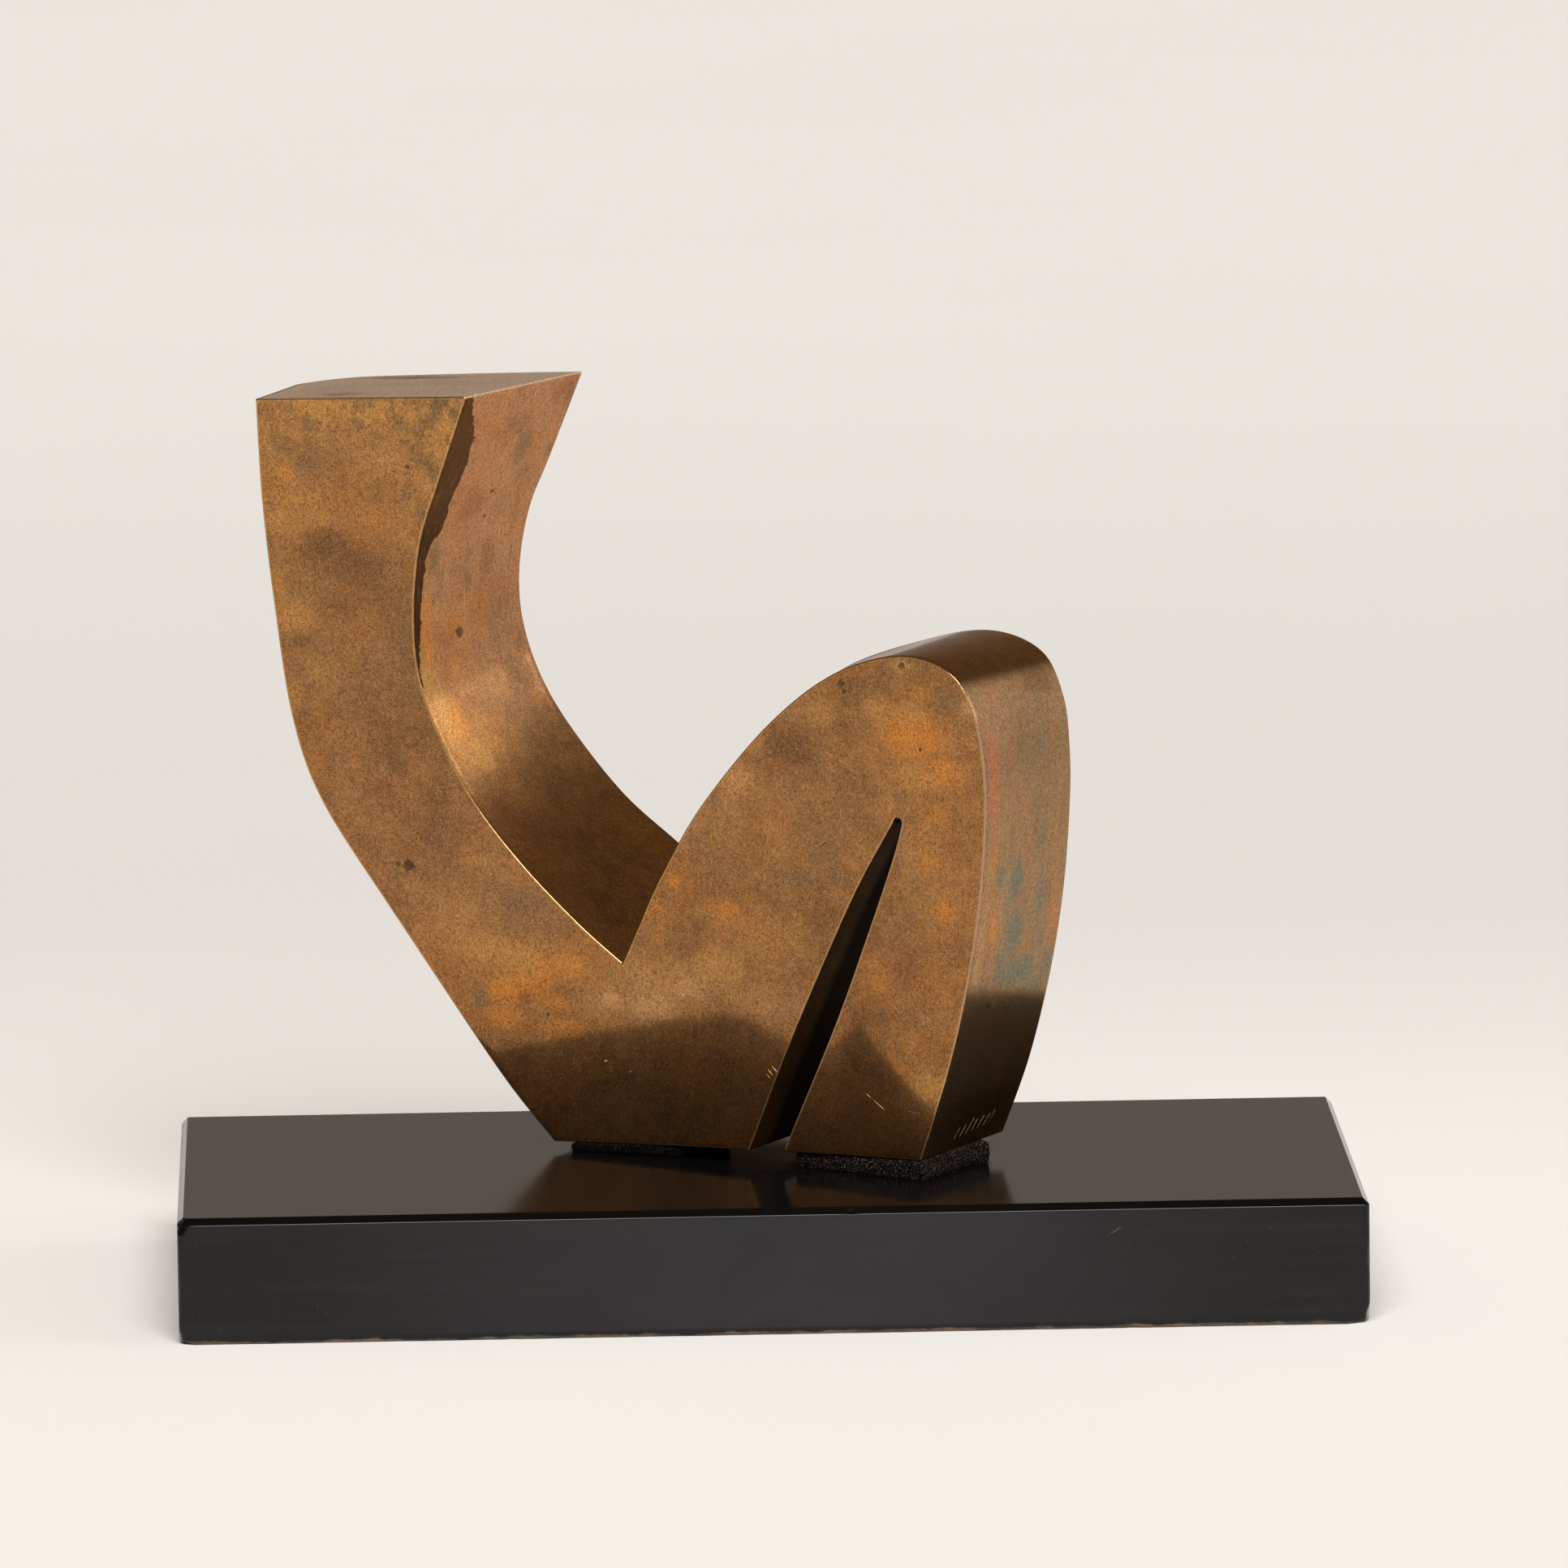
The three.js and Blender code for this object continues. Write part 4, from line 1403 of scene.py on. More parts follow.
@dataclass(frozen=True)
class FlankRound:
    """The flank's wide round into the back face: the line where it starts, and its depth and width there."""

    line: np.ndarray
    deep: np.ndarray
    wide: np.ndarray
    beyond: float = 20.0

    @classmethod
    def along(
        cls, front: np.ndarray, back: np.ndarray, length: np.ndarray, radius: np.ndarray
    ) -> "FlankRound":
        """Set out the round along the flank, lengthened at both ends.

        Args:
            front: Front points of the flank's wall lines, in x and z.
            back: Their points at full depth.
            length: Length of each line.
            radius: Radius of the round on each line.

        Returns:
            The round.
        """
        line = front + (back - front) * (1 - radius / length)[:, None]
        wide = radius * (1 - np.linalg.norm(back - front, axis=1) / length)
        above = line[0] + (line[0] - line[1]) * np.linspace(30, 2, 8)[:, None]
        below = line[-1] + (line[-1] - line[-2]) * np.linspace(2, 30, 8)[:, None]
        return cls(np.vstack([above, line, below]), np.pad(radius, 8, "edge"), np.pad(wide, 8, "edge"))

    def drop(self, flat: np.ndarray) -> np.ndarray:
        """How far the round lies in front of the plain back face.

        Args:
            flat: Points in x and z.

        Returns:
            Depths in millimetres.
        """
        apart, place = nearest_on_path(flat, self.line, False)
        index = np.minimum(place.astype(int), len(self.line) - 2)
        along, beside = self.line[index + 1] - self.line[index], flat - self.line[index]
        outside = along[:, 0] * beside[:, 1] - along[:, 1] * beside[:, 0] < 0
        steps = np.arange(len(self.line))
        deep, wide = np.interp(place, steps, self.deep), np.interp(place, steps, self.wide)
        inward = np.clip(apart / wide, 0, 1)
        drop = deep * (1 - np.sqrt(np.clip(1 - (1 - inward) ** 2, 0, 1)))
        return np.where(outside, deep + apart * self.beyond, drop)

    def rows(self) -> np.ndarray:
        """Rows of points along the round."""
        along = unit(np.gradient(self.line, axis=0))
        inward = np.stack([-along[:, 1], along[:, 0]], 1)
        reaches = 1 - np.cos(np.radians(np.arange(30, 91, 7.5)))
        return np.vstack([self.line + inward * (self.wide * reach)[:, None] for reach in reaches])


@dataclass(frozen=True)
class WallLines:
    """The lines that run along the figure's walls from the front to the back, one row for each."""

    front: np.ndarray
    back: np.ndarray
    owner: np.ndarray
    length: np.ndarray
    share: np.ndarray
    crisp: np.ndarray


@dataclass(frozen=True)
class FigureSkin:
    """The figure's points, the stretch that each lies on and its depth behind the front face."""

    points: np.ndarray
    owners: np.ndarray
    deep: np.ndarray

    def inside(self) -> np.ndarray:
        """Mask that fades in just behind the front edge."""
        return np.clip(self.deep / 0.6, 0, 1)

    def stains(self) -> dict[str, np.ndarray]:
        """Strength of each tint of stain at each point.

        Returns:
            An array for each tint.
        """
        x, z, inside = self.points[:, 0], self.points[:, 2], self.inside()
        across = np.column_stack([self.deep, z])
        faces = {
            Place.FRONT: (self.points[:, [0, 2]], 1 - np.clip(self.deep / 1.5, 0, 1)),
            Place.CHEST: (across, (self.owners == Wall.CHEST) * inside),
            Place.SHIN: (across, (self.owners == Wall.SHIN) * (x > 35) * inside),
            Place.CROWN: (np.column_stack([x, self.deep]), (self.owners == Wall.CROWN) * inside),
        }
        found = {tint: np.zeros(len(x)) for tint in Tint}
        for place, tints in STAINS.items():
            flat, share = faces[place]
            for tint, patches in tints.items():
                for u, v, wide, tall, strength in patches:
                    apart = ((flat[:, 0] - u) / wide) ** 2 + ((flat[:, 1] - v) / tall) ** 2
                    found[tint] = np.maximum(found[tint], np.exp(-apart * 0.9) * strength * share)
        return {f"stain_{tint.value}": values for tint, values in found.items()}

    def zones(self) -> np.ndarray:
        """Masks of the outer shin, the dark strip on the inner wall and the flaked stretches.

        Returns:
            Three numbers for each point.
        """
        x, z, deep = self.points[:, 0], self.points[:, 2], self.deep
        on_shin = (self.owners == Wall.SHIN) & (x > 40)
        shin = on_shin * read_table(z, ((0, 1), (112, 1), (120, 0))) * np.clip(deep, 0, 1)
        edge = (
            (108, 0), (122, 3), (134, 4), (141, 4.2), (144.5, 6), (147.5, 10.5),
            (155, 10), (164, 11.5), (170, 11), (175, 7), (181, 3),
        )
        on_chest = (self.owners == Wall.CHEST) & (deep > 0.3)
        strip = on_chest * np.clip(0.5 + (read_table(z, edge) - deep) / 2.4, 0, 1)
        high = read_table(z, ((120, 0), (145, 0.25), (160, 0.5), (172, 1.0)))
        flaked = (deep < 1.0) * high * read_table(x, ((-122, 0.5), (-112, 1.0)))
        return np.column_stack([shin, strip, flaked])

    def parts(self) -> np.ndarray:
        """Masks of the slit's unpolished inside with painted shade that deepens into it, the pinkish upper
        wall inside the lap, and the crown.

        Returns:
            Three numbers for each point.
        """
        inside = self.inside()
        in_slit = np.isin(self.owners, (Wall.SLIT_LEFT, Wall.SLIT_TIP, Wall.SLIT_RIGHT))
        # Painted shade: the slit's inside darkens the further it lies behind the front, over its dull
        # unpolished metal.
        soot_and_slit_shade = in_slit * np.clip((self.deep - 2.5) / 9.0, 0, 1) ** 0.8
        soot_and_slit_shade = np.maximum(soot_and_slit_shade, 0.6 * (self.owners == Wall.SLIT_LEFT) * (self.deep > 0.02))
        pinkish = read_table(self.points[:, 2], ((95, 0), (135, 0.9)))
        inner = (self.owners == Wall.CHEST) * pinkish * inside
        return np.column_stack([soot_and_slit_shade, inner, (self.owners == Wall.CROWN) * inside])

    def rim(self) -> np.ndarray:
        """Mask of the right edges of the knee and of the slit: partly worn, partly a painted highlight of
        their rounded edges.

        Returns:
            A number for each point.
        """
        on_knee = (self.owners == Wall.SHIN) | (self.owners == Wall.NONE)
        near = (self.deep < 3) & (self.points[:, 0] > 43) & on_knee
        worn = ((12, 0.25), (40, 0.5), (60, 1), (98, 0.9), (112, 0.1))
        slit = (self.deep < 2) & (self.owners == Wall.SLIT_RIGHT)
        return np.maximum(near * read_table(self.points[:, 2], worn), slit * 0.45)


@dataclass
class BronzeFigure:
    """The cast bather: one fine closed mesh with rounded edges and its patina's values."""

    shape: FigureShape
    finish: BronzeFinish
    spacing: float = 1.25
    wall_rings: int = 34
    round_steps: int = 5
    relief_depth: float = 4.0
    waves: Axes = (34.0, 21.0, 13.0)
    wave_share: float = 0.00006
    spots: tuple[tuple[Place, float, float, float], ...] = (
        (Place.FRONT, -92.8, 66.6, 1.7), (Place.FRONT, -95.6, 66.9, 0.7),
        (Place.FRONT, 28.0, 114.2, 1.1), (Place.FRONT, 28.8, 112.3, 0.7),
        (Place.FRONT, 45.3, 119.1, 1.1), (Place.FRONT, 49.0, 99.1, 0.6),
        (Place.FRONT, -58.6, 31.0, 0.5), (Place.FRONT, -85.7, 163.6, 0.7),
        (Place.CHEST, 20.9, 120.8, 1.8), (Place.CHEST, 29.2, 154.2, 0.9),
        (Place.CHEST, 29.4, 148.1, 0.7), (Place.SHIN, 12.4, 36.3, 1.0),
    )
    flank: FlankRound = field(init=False)
    lines: WallLines = field(init=False)

    def __post_init__(self) -> None:
        """Work out where each wall line starts and ends."""
        shape = self.shape
        front, back, owner = shape.outline()
        start = np.column_stack([front, shape.front_y(front)])
        end = np.column_stack([back, shape.back_y(back)])
        length = np.linalg.norm(end - start, axis=1)
        flank = owner == Wall.FLANK
        radius = np.linspace(*shape.flank_round, flank.sum())
        self.flank = FlankRound.along(front[flank], back[flank], length[flank], radius)
        share = np.ones(len(front))
        share[flank] = 1 - radius / length[flank]
        for index in np.where((owner == Wall.CROWN) | (owner == Wall.SOLE_LEFT))[0]:
            share[index] = self._wall_end(front[index], back[index])
        self.lines = WallLines(front, back, owner, length, share, np.where(flank, 0.0, 1.0))

    def back_y(self, flat: np.ndarray) -> np.ndarray:
        """Depth of the back face with the flank's round."""
        return self.shape.back_y(flat) - self.flank.drop(flat)

    def _wall_end(self, front: np.ndarray, back: np.ndarray) -> float:
        """Find where a wall line meets the back face.

        Args:
            front: The line's front point in x and z.
            back: Its point at full depth.

        Returns:
            The share of the full depth.
        """
        low, high = 0.3, 1.0
        y0, y1 = float(self.shape.front_y(front)), float(self.shape.back_y(back))
        for _ in range(24):
            middle = (low + high) / 2
            flat = front + (back - front) * middle
            inside = y0 + (y1 - y0) * middle < float(self.back_y(flat[None])[0])
            low, high = (middle, high) if inside else (low, middle)
        return low

    def _waviness(self, points: np.ndarray) -> np.ndarray:
        """Slight unevenness of hand-finished metal.

        Args:
            points: Points in the figure's frame.

        Returns:
            How far each is moved, in millimetres.
        """
        rng = np.random.default_rng(7)
        total = np.zeros(len(points))
        for wave in self.waves:
            for _ in range(4):
                direction = rng.normal(size=3)
                direction /= np.linalg.norm(direction)
                phase = rng.uniform(0, 2 * math.pi)
                total += np.sin(points @ direction * (2 * math.pi / wave) + phase) * wave * self.wave_share
        return total

    def _ring(self, share: np.ndarray, inset: float = 0.0, back: bool = False) -> np.ndarray:
        """One ring of points around the figure.

        Args:
            share: Share of the full depth on each wall line.
            inset: How far the ring lies inside the outline.
            back: Whether the ring belongs to the back edge's round.

        Returns:
            The ring's points in x, y and z.
        """
        flat = self.lines.front + (self.lines.back - self.lines.front) * share[:, None]
        if inset > 0:
            before, after = unit(flat - np.roll(flat, 1, axis=0)), unit(np.roll(flat, -1, axis=0) - flat)
            both = before + after
            normal = unit(np.stack([-both[:, 1], both[:, 0]], 1))
            miter = np.clip((normal * np.stack([-after[:, 1], after[:, 0]], 1)).sum(1), 0.35, 1)
            flat = flat + normal * (inset / miter)[:, None]
        y0, y1 = self.shape.front_y(flat), self.shape.back_y(flat)
        y = self.back_y(flat) if back else y0 + (y1 - y0) * share
        return np.column_stack([flat[:, 0], y, flat[:, 1]])

    def _rings(self) -> list[np.ndarray]:
        """Set out the rings from the front edge's round to the back edge's round.

        Returns:
            The rings in order.
        """
        shape, lines = self.shape, self.lines
        angles = [math.pi / 2 * step / self.round_steps for step in range(self.round_steps + 1)]
        rings = []
        for angle in angles:
            deep = shape.front_round * (1 - math.cos(angle)) / lines.length
            rings.append(self._ring(deep, shape.front_round * (1 - math.sin(angle))))
        start = shape.front_round / lines.length
        end = lines.share - lines.crisp * shape.back_round / lines.length
        for step in range(1, self.wall_rings):
            rings.append(self._ring(start + (end - start) * step / self.wall_rings))
        for angle in angles:
            ring = self._ring(lines.share, shape.back_round * (1 - math.cos(angle)), back=True)
            ring[:, 1] -= lines.crisp * shape.back_round * (1 - math.sin(angle))
            rings.append(ring)
        return rings

    def _grid(self, ring: np.ndarray) -> np.ndarray:
        """Lay even points inside a ring, clear of its border.

        Args:
            ring: The ring's points in x and z.

        Returns:
            The points.
        """
        low, high = ring.min(0), ring.max(0)
        rows = []
        for index, z in enumerate(np.arange(low[1], high[1], math.sqrt(3) / 2 * self.spacing)):
            x = np.arange(low[0] + (index % 2) * self.spacing / 2, high[0], self.spacing)
            rows.append(np.column_stack([x, np.full(len(x), z)]))
        return clear_inside(np.vstack(rows), ring, self.spacing * 0.6)

    def build(self) -> tuple[np.ndarray, Faces, dict[str, np.ndarray]]:
        """Build the figure's mesh in its own frame.

        Returns:
            Points, faces, and named values for each point.
        """
        rings = self._rings()
        draft = MeshDraft(rings, upward=False)
        front, back = rings[0][:, [0, 2]], rings[-1][:, [0, 2]]
        inner = self._grid(front)
        placed = np.column_stack([inner[:, 0], self.shape.front_y(inner), inner[:, 1]])
        draft.cap(0, front, inner, placed, flip=False)
        front_end = len(draft.points)
        grid = self._grid(back)
        apart, _ = nearest_on_path(grid, self.flank.line, False)
        grid = grid[apart > self.flank.wide.max() * 0.98]
        inner = np.vstack([clear_inside(self.flank.rows(), back, 0.35), grid])
        placed = np.column_stack([inner[:, 0], self.back_y(inner), inner[:, 1]])
        draft.cap(len(rings) - 1, back, inner, placed, flip=True)
        return self._shaped(draft.points), draft.faces, self._values(draft.points, rings, front_end)

    def _shaped(self, points: np.ndarray) -> np.ndarray:
        """Add the front's relief and the overall waviness.

        Args:
            points: Plain points.

        Returns:
            The moved points.
        """
        flat = points[:, [0, 2]]
        front, back = self.shape.front_y(flat), self.shape.back_y(flat)
        fade = np.clip(1 - (points[:, 1] - front) / self.relief_depth, 0, 1)
        near = fade > 0
        moved = points.copy()
        moved[near, 1] += self.shape.relief(flat[near]) * fade[near]
        side = np.clip((points[:, 1] - (front + back) / 2) / 20.0, -1, 1)
        moved[:, 1] += self._waviness(points) * side
        return moved

    def _edge_values(self, points: np.ndarray, rings: list[np.ndarray], front_end: int) -> np.ndarray:
        """Distance of each point to the nearest edge.

        Args:
            points: All points, unshaped.
            rings: The wall's rings.
            front_end: Index after the last point of the front face.

        Returns:
            The distances in millimetres.
        """
        lines, count = self.lines, len(self.lines.front)
        step = np.linalg.norm(np.roll(lines.front, -1, axis=0) - lines.front, axis=1)
        place = np.concatenate([[0], np.cumsum(step)[:-1]])
        soft = (Wall.SLIT_TIP, Wall.SLIT_RIGHT, Wall.CHEST)
        turns = [i for i in range(count) if lines.owner[i] != lines.owner[i - 1]]
        corners = [i for i in turns if lines.owner[i] not in soft]
        gap = np.abs(place[:, None] - place[corners][None])
        along = np.minimum(gap, step.sum() - gap).min(1)
        walls = []
        for ring in rings:
            flat = ring[:, [0, 2]]
            before = ring[:, 1] - self.shape.front_y(flat)
            behind = np.where(lines.crisp > 0, self.back_y(flat) - ring[:, 1], np.inf)
            walls.append(np.minimum(np.minimum(before, behind), along))
        flat = points[count * len(rings) :][:, [0, 2]]
        front_count = front_end - count * len(rings)
        front = nearest_on_path(flat[:front_count], lines.front, True)[0]
        back = nearest_on_path(flat[front_count:], lines.back[lines.crisp > 0], False)[0]
        return np.clip(np.concatenate([*walls, front, back]), 0, None)

    def _values(self, points: np.ndarray, rings: list[np.ndarray], front_end: int) -> dict[str, np.ndarray]:
        """Values that place the finish.

        Args:
            points: All points, unshaped.
            rings: The wall's rings.
            front_end: Index after the last point of the front face.

        Returns:
            Arrays "edge", "zones", "parts" and "rim", and one for each tint of stain.
        """
        owners = np.full(len(points), int(Wall.NONE))
        owners[: len(rings) * len(rings[0])] = np.tile(self.lines.owner, len(rings))
        skin = FigureSkin(points, owners, points[:, 1] - self.shape.front_y(points[:, [0, 2]]))
        edge = self._edge_values(points, rings, front_end) * MM
        masks = {"edge": edge, "zones": skin.zones(), "parts": skin.parts(), "rim": skin.rim()}
        return masks | skin.stains()

    def dress(self, effects: Effects) -> Piece:
        """Make the piece and put it in the CAD node's place.

        Args:
            effects: The shared node groups.

        Returns:
            The piece.
        """
        points, faces, values = self.build()
        centres = np.array([self.shape.point(place, across, z) for place, across, z, _ in self.spots])
        centres = (self.shape.to_world(centres) * MM).tolist()
        spots = [(tuple(centre), radius * MM) for centre, (*_, radius) in zip(centres, self.spots)]
        material = self.finish.material(effects, spots)
        piece = make_piece("bronze_figure", self.shape.to_world(points), faces, material, Slot.BRONZE)
        for name, numbers in values.items():
            store_values(piece.data, name, numbers)
        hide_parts("bronze_bather")
        return piece


@dataclass
class ScratchedMarks:
    """Scratches on the bronze, and the row of strokes on the outer side of the right foot."""

    shape: FigureShape
    finish: BareBronzeFinish
    steps: int = 8
    profile: tuple[Point2, ...] = ((-0.5, -0.01), (-0.25, 0.035), (0.0, 0.012), (0.25, 0.035), (0.5, -0.01))
    scratches: tuple[Stroke, ...] = (
        (29.6, 13.9, 32.5, 11.8, 0.24), (27.4, 15.5, 28.9, 14.4, 0.14), (39.5, 11.8, 42.7, 11.5, 0.18),
        (1.9, 21.0, 3.3, 19.5, 0.19), (0.9, 20.0, 2.1, 18.5, 0.16), (0.3, 18.9, 1.3, 17.9, 0.14),
        (42.9, 82.6, 45.4, 85.8, 0.14), (42.6, 81.6, 43.8, 83.4, 0.1), (-44.3, 20.0, -43.4, 20.3, 0.6),
        (-37.6, 17.9, -37.2, 17.7, 0.3), (23.6, 105.6, 24.1, 105.8, 0.3), (37.2, 57.8, 37.6, 57.9, 0.3),
    )
    row_lengths: tuple[float, ...] = (2.7, 2.9, 3.6, 2.8, 3.1, 2.9, 3.2)
    row_width: float = 0.2

    def row_of_strokes(self) -> list[Stroke]:
        """Lay out the row: short strokes that lean alike, rise to the right and form no letters.

        Returns:
            The strokes.
        """
        strokes = []
        for index, length in enumerate(self.row_lengths):
            depth, height = 14.8 + index * 2.85, 2.8 + index * 0.2
            lean = 1.2 + 0.3 * (index % 3)
            strokes.append((depth, height, depth + lean, height + length, self.row_width))
        return strokes

    def _ribbon(self, place: Place, stroke: Stroke, points: list[np.ndarray], faces: Faces) -> None:
        """Add one stroke's ribbon: a low burr on either side of a shallow bottom.

        Args:
            place: The face that it lies on.
            stroke: Its two ends on that face, and its width.
            points: Points so far.
            faces: Faces so far.
        """
        ends = np.array([stroke[:2], stroke[2:4]])
        along = unit(ends[1] - ends[0])
        across = np.array([-along[1], along[0]])
        proud = 0.01 if place is Place.FRONT else 0.02
        base, columns = len(points), len(self.profile)
        for step in range(self.steps + 1):
            share = step / self.steps
            middle = ends[0] + (ends[1] - ends[0]) * share
            wide = stroke[4] * max(0.12, math.sin(math.pi * min(1, share * 0.9 + 0.08)) ** 0.6)
            for side, lift in self.profile:
                points.append(self.shape.point(place, *(middle + across * wide * side), lift + proud))
        for step in range(self.steps):
            for column in range(columns - 1):
                a = base + step * columns + column
                faces.append((a, a + 1, a + columns + 1, a + columns))

    def dress(self, effects: Effects, name: str, place: Place, strokes: Sequence[Stroke]) -> Piece:
        """Make one piece from several strokes.

        Args:
            effects: The shared node groups.
            name: The piece's name.
            place: The face that they lie on.
            strokes: The strokes.

        Returns:
            The piece.
        """
        points: list[np.ndarray] = []
        faces: Faces = []
        for stroke in strokes:
            self._ribbon(place, stroke, points, faces)
        world = self.shape.to_world(np.array(points))
        return make_piece(name, world, faces, self.finish.material(effects), Slot.BRONZE)


@dataclass(frozen=True)
class Chip:
    """A place where the block's edge is knocked off."""

    centre: Axes
    radius: float
    deep: float


@dataclass
class WoodBlock:
    """The black wooden block, with its bevel, soft corners, chips and worn lower edges."""

    finish: WoodFinish
    length: float = 280.0
    depth: float = 140.0
    height: float = 30.0
    bevel: float = 1.6
    foot: float = 0.5
    corner: float = 1.2
    corner_steps: int = 5
    spacing: float = 1.4
    inner_spacing: float = 3.0
    chips: tuple[Chip, ...] = (
        Chip((-139.4, -69.4, 29.2), 2.2, 0.8),
        Chip((18.0, -69.6, 28.9), 0.9, 0.35),
        Chip((-139.6, -69.6, 0.4), 3.2, 0.9),
        Chip((139.6, -69.6, 0.4), 4.5, 1.3),
        Chip((-62.0, -69.8, 0.2), 1.8, 0.4),
        Chip((84.0, -69.8, 0.2), 2.4, 0.35),
        Chip((139.6, 20.0, 0.2), 2.0, 0.5),
    )

    def _level(self, z: float, inset: float) -> np.ndarray:
        """Points around the block at one level.

        Args:
            z: The level's height.
            inset: How far it lies inside the block's sides.

        Returns:
            Points in x, y and z, counter-clockwise from above.
        """
        reach = max(self.corner - inset, 0.05)
        centre = np.array([self.length, self.depth]) / 2 - max(self.corner, inset)
        arcs = []
        for quarter, sign in enumerate(((1, 1), (-1, 1), (-1, -1), (1, -1))):
            angle = math.pi / 2 * (quarter + np.arange(self.corner_steps + 1) / self.corner_steps)
            arcs.append(centre * sign + reach * np.stack([np.cos(angle), np.sin(angle)], 1))
        ring = []
        for quarter, arc in enumerate(arcs):
            pieces = int((self.depth if quarter % 2 else self.length) // self.spacing)
            shares = np.arange(1, pieces)[:, None] / pieces
            ring += [arc, arc[-1] + (arcs[(quarter + 1) % 4][0] - arc[-1]) * shares]
        flat = np.vstack(ring)
        return np.column_stack([flat, np.full(len(flat), z)])

    def _levels(self) -> list[Point2]:
        """Heights and insets of the levels from the bottom up.

        Returns:
            A height and an inset for each level.
        """
        low = [(0.0, self.foot), (0.08, 0.24), (0.25, 0.08), (self.foot, 0.0)]
        top = self.height - self.bevel
        wall = [(z, 0.0) for z in np.linspace(self.foot, top - 0.15, 21)[1:]]
        soft = [(top - 0.05, 0.0), (top + 0.03, 0.04)]
        slope = [(top + self.bevel * share, self.bevel * share) for share in (0.08, 0.16, 0.5, 0.84, 0.92)]
        rim = [(self.height - 0.03, self.bevel * 0.985)]
        rim += [(self.height, self.bevel + inset) for inset in (0.05, 0.25)]
        return low + wall + soft + slope + rim

    def build(self) -> tuple[np.ndarray, Faces]:
        """Build the block's mesh.

        Returns:
            Points and faces.
        """
        rings = [self._level(z, inset) for z, inset in self._levels()]
        draft = MeshDraft(rings, upward=True)
        for index, flip in ((0, True), (len(rings) - 1, False)):
            border = rings[index][:, :2]
            inner = even_inside(border, self.inner_spacing)
            placed = np.column_stack([inner, np.full(len(inner), rings[index][0, 2])])
            draft.cap(index, border, inner, placed, flip)
        return self._worn(draft.points), draft.faces

    def _worn(self, points: np.ndarray) -> np.ndarray:
        """Knock off the chips and round the lower edges unevenly.

        Args:
            points: The sharp block's points.

        Returns:
            The moved points.
        """
        half = np.array([self.length, self.depth, self.height]) / 2
        centred = points - (0, 0, self.height / 2)
        away = half - np.abs(centred)
        edge = np.sort(away, axis=1)[:, 1]
        inward = -np.sign(centred) * (away < 2.5)
        rng = np.random.default_rng(3)
        wave = np.zeros(len(points))
        for scale in (37.0, 17.0, 7.0, 3.1):
            phase = rng.uniform(0, 6.28, 3)
            along, across = points[:, 0] / scale * 2.1, points[:, 1] / scale * 1.9
            wave += np.sin(along + phase[0]) * np.sin(across + phase[1])
        rub = np.clip(0.10 + wave * 0.06, 0, 0.3) * np.clip(1 - edge / 1.2, 0, 1)
        moved = points + inward * (rub * np.where(points[:, 2] < 3, 1.0, 0.35))[:, None]
        for chip in self.chips:
            apart = np.linalg.norm(points - np.array(chip.centre), axis=1)
            bite = np.clip(1 - (apart / chip.radius) ** 2, 0, 1) * chip.deep
            moved += inward * bite[:, None] * 0.6
        moved[:, 2] = np.clip(moved[:, 2], 0, self.height)
        return moved

    def dress(self, effects: Effects) -> Piece:
        """Make the piece and put it in the CAD node's place.

        Args:
            effects: The shared node groups.

        Returns:
            The piece.
        """
        points, faces = self.build()
        piece = make_piece("black_block", points, faces, self.finish.material(effects), Slot.BLACK_WOOD)
        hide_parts("wood_base")
        return piece


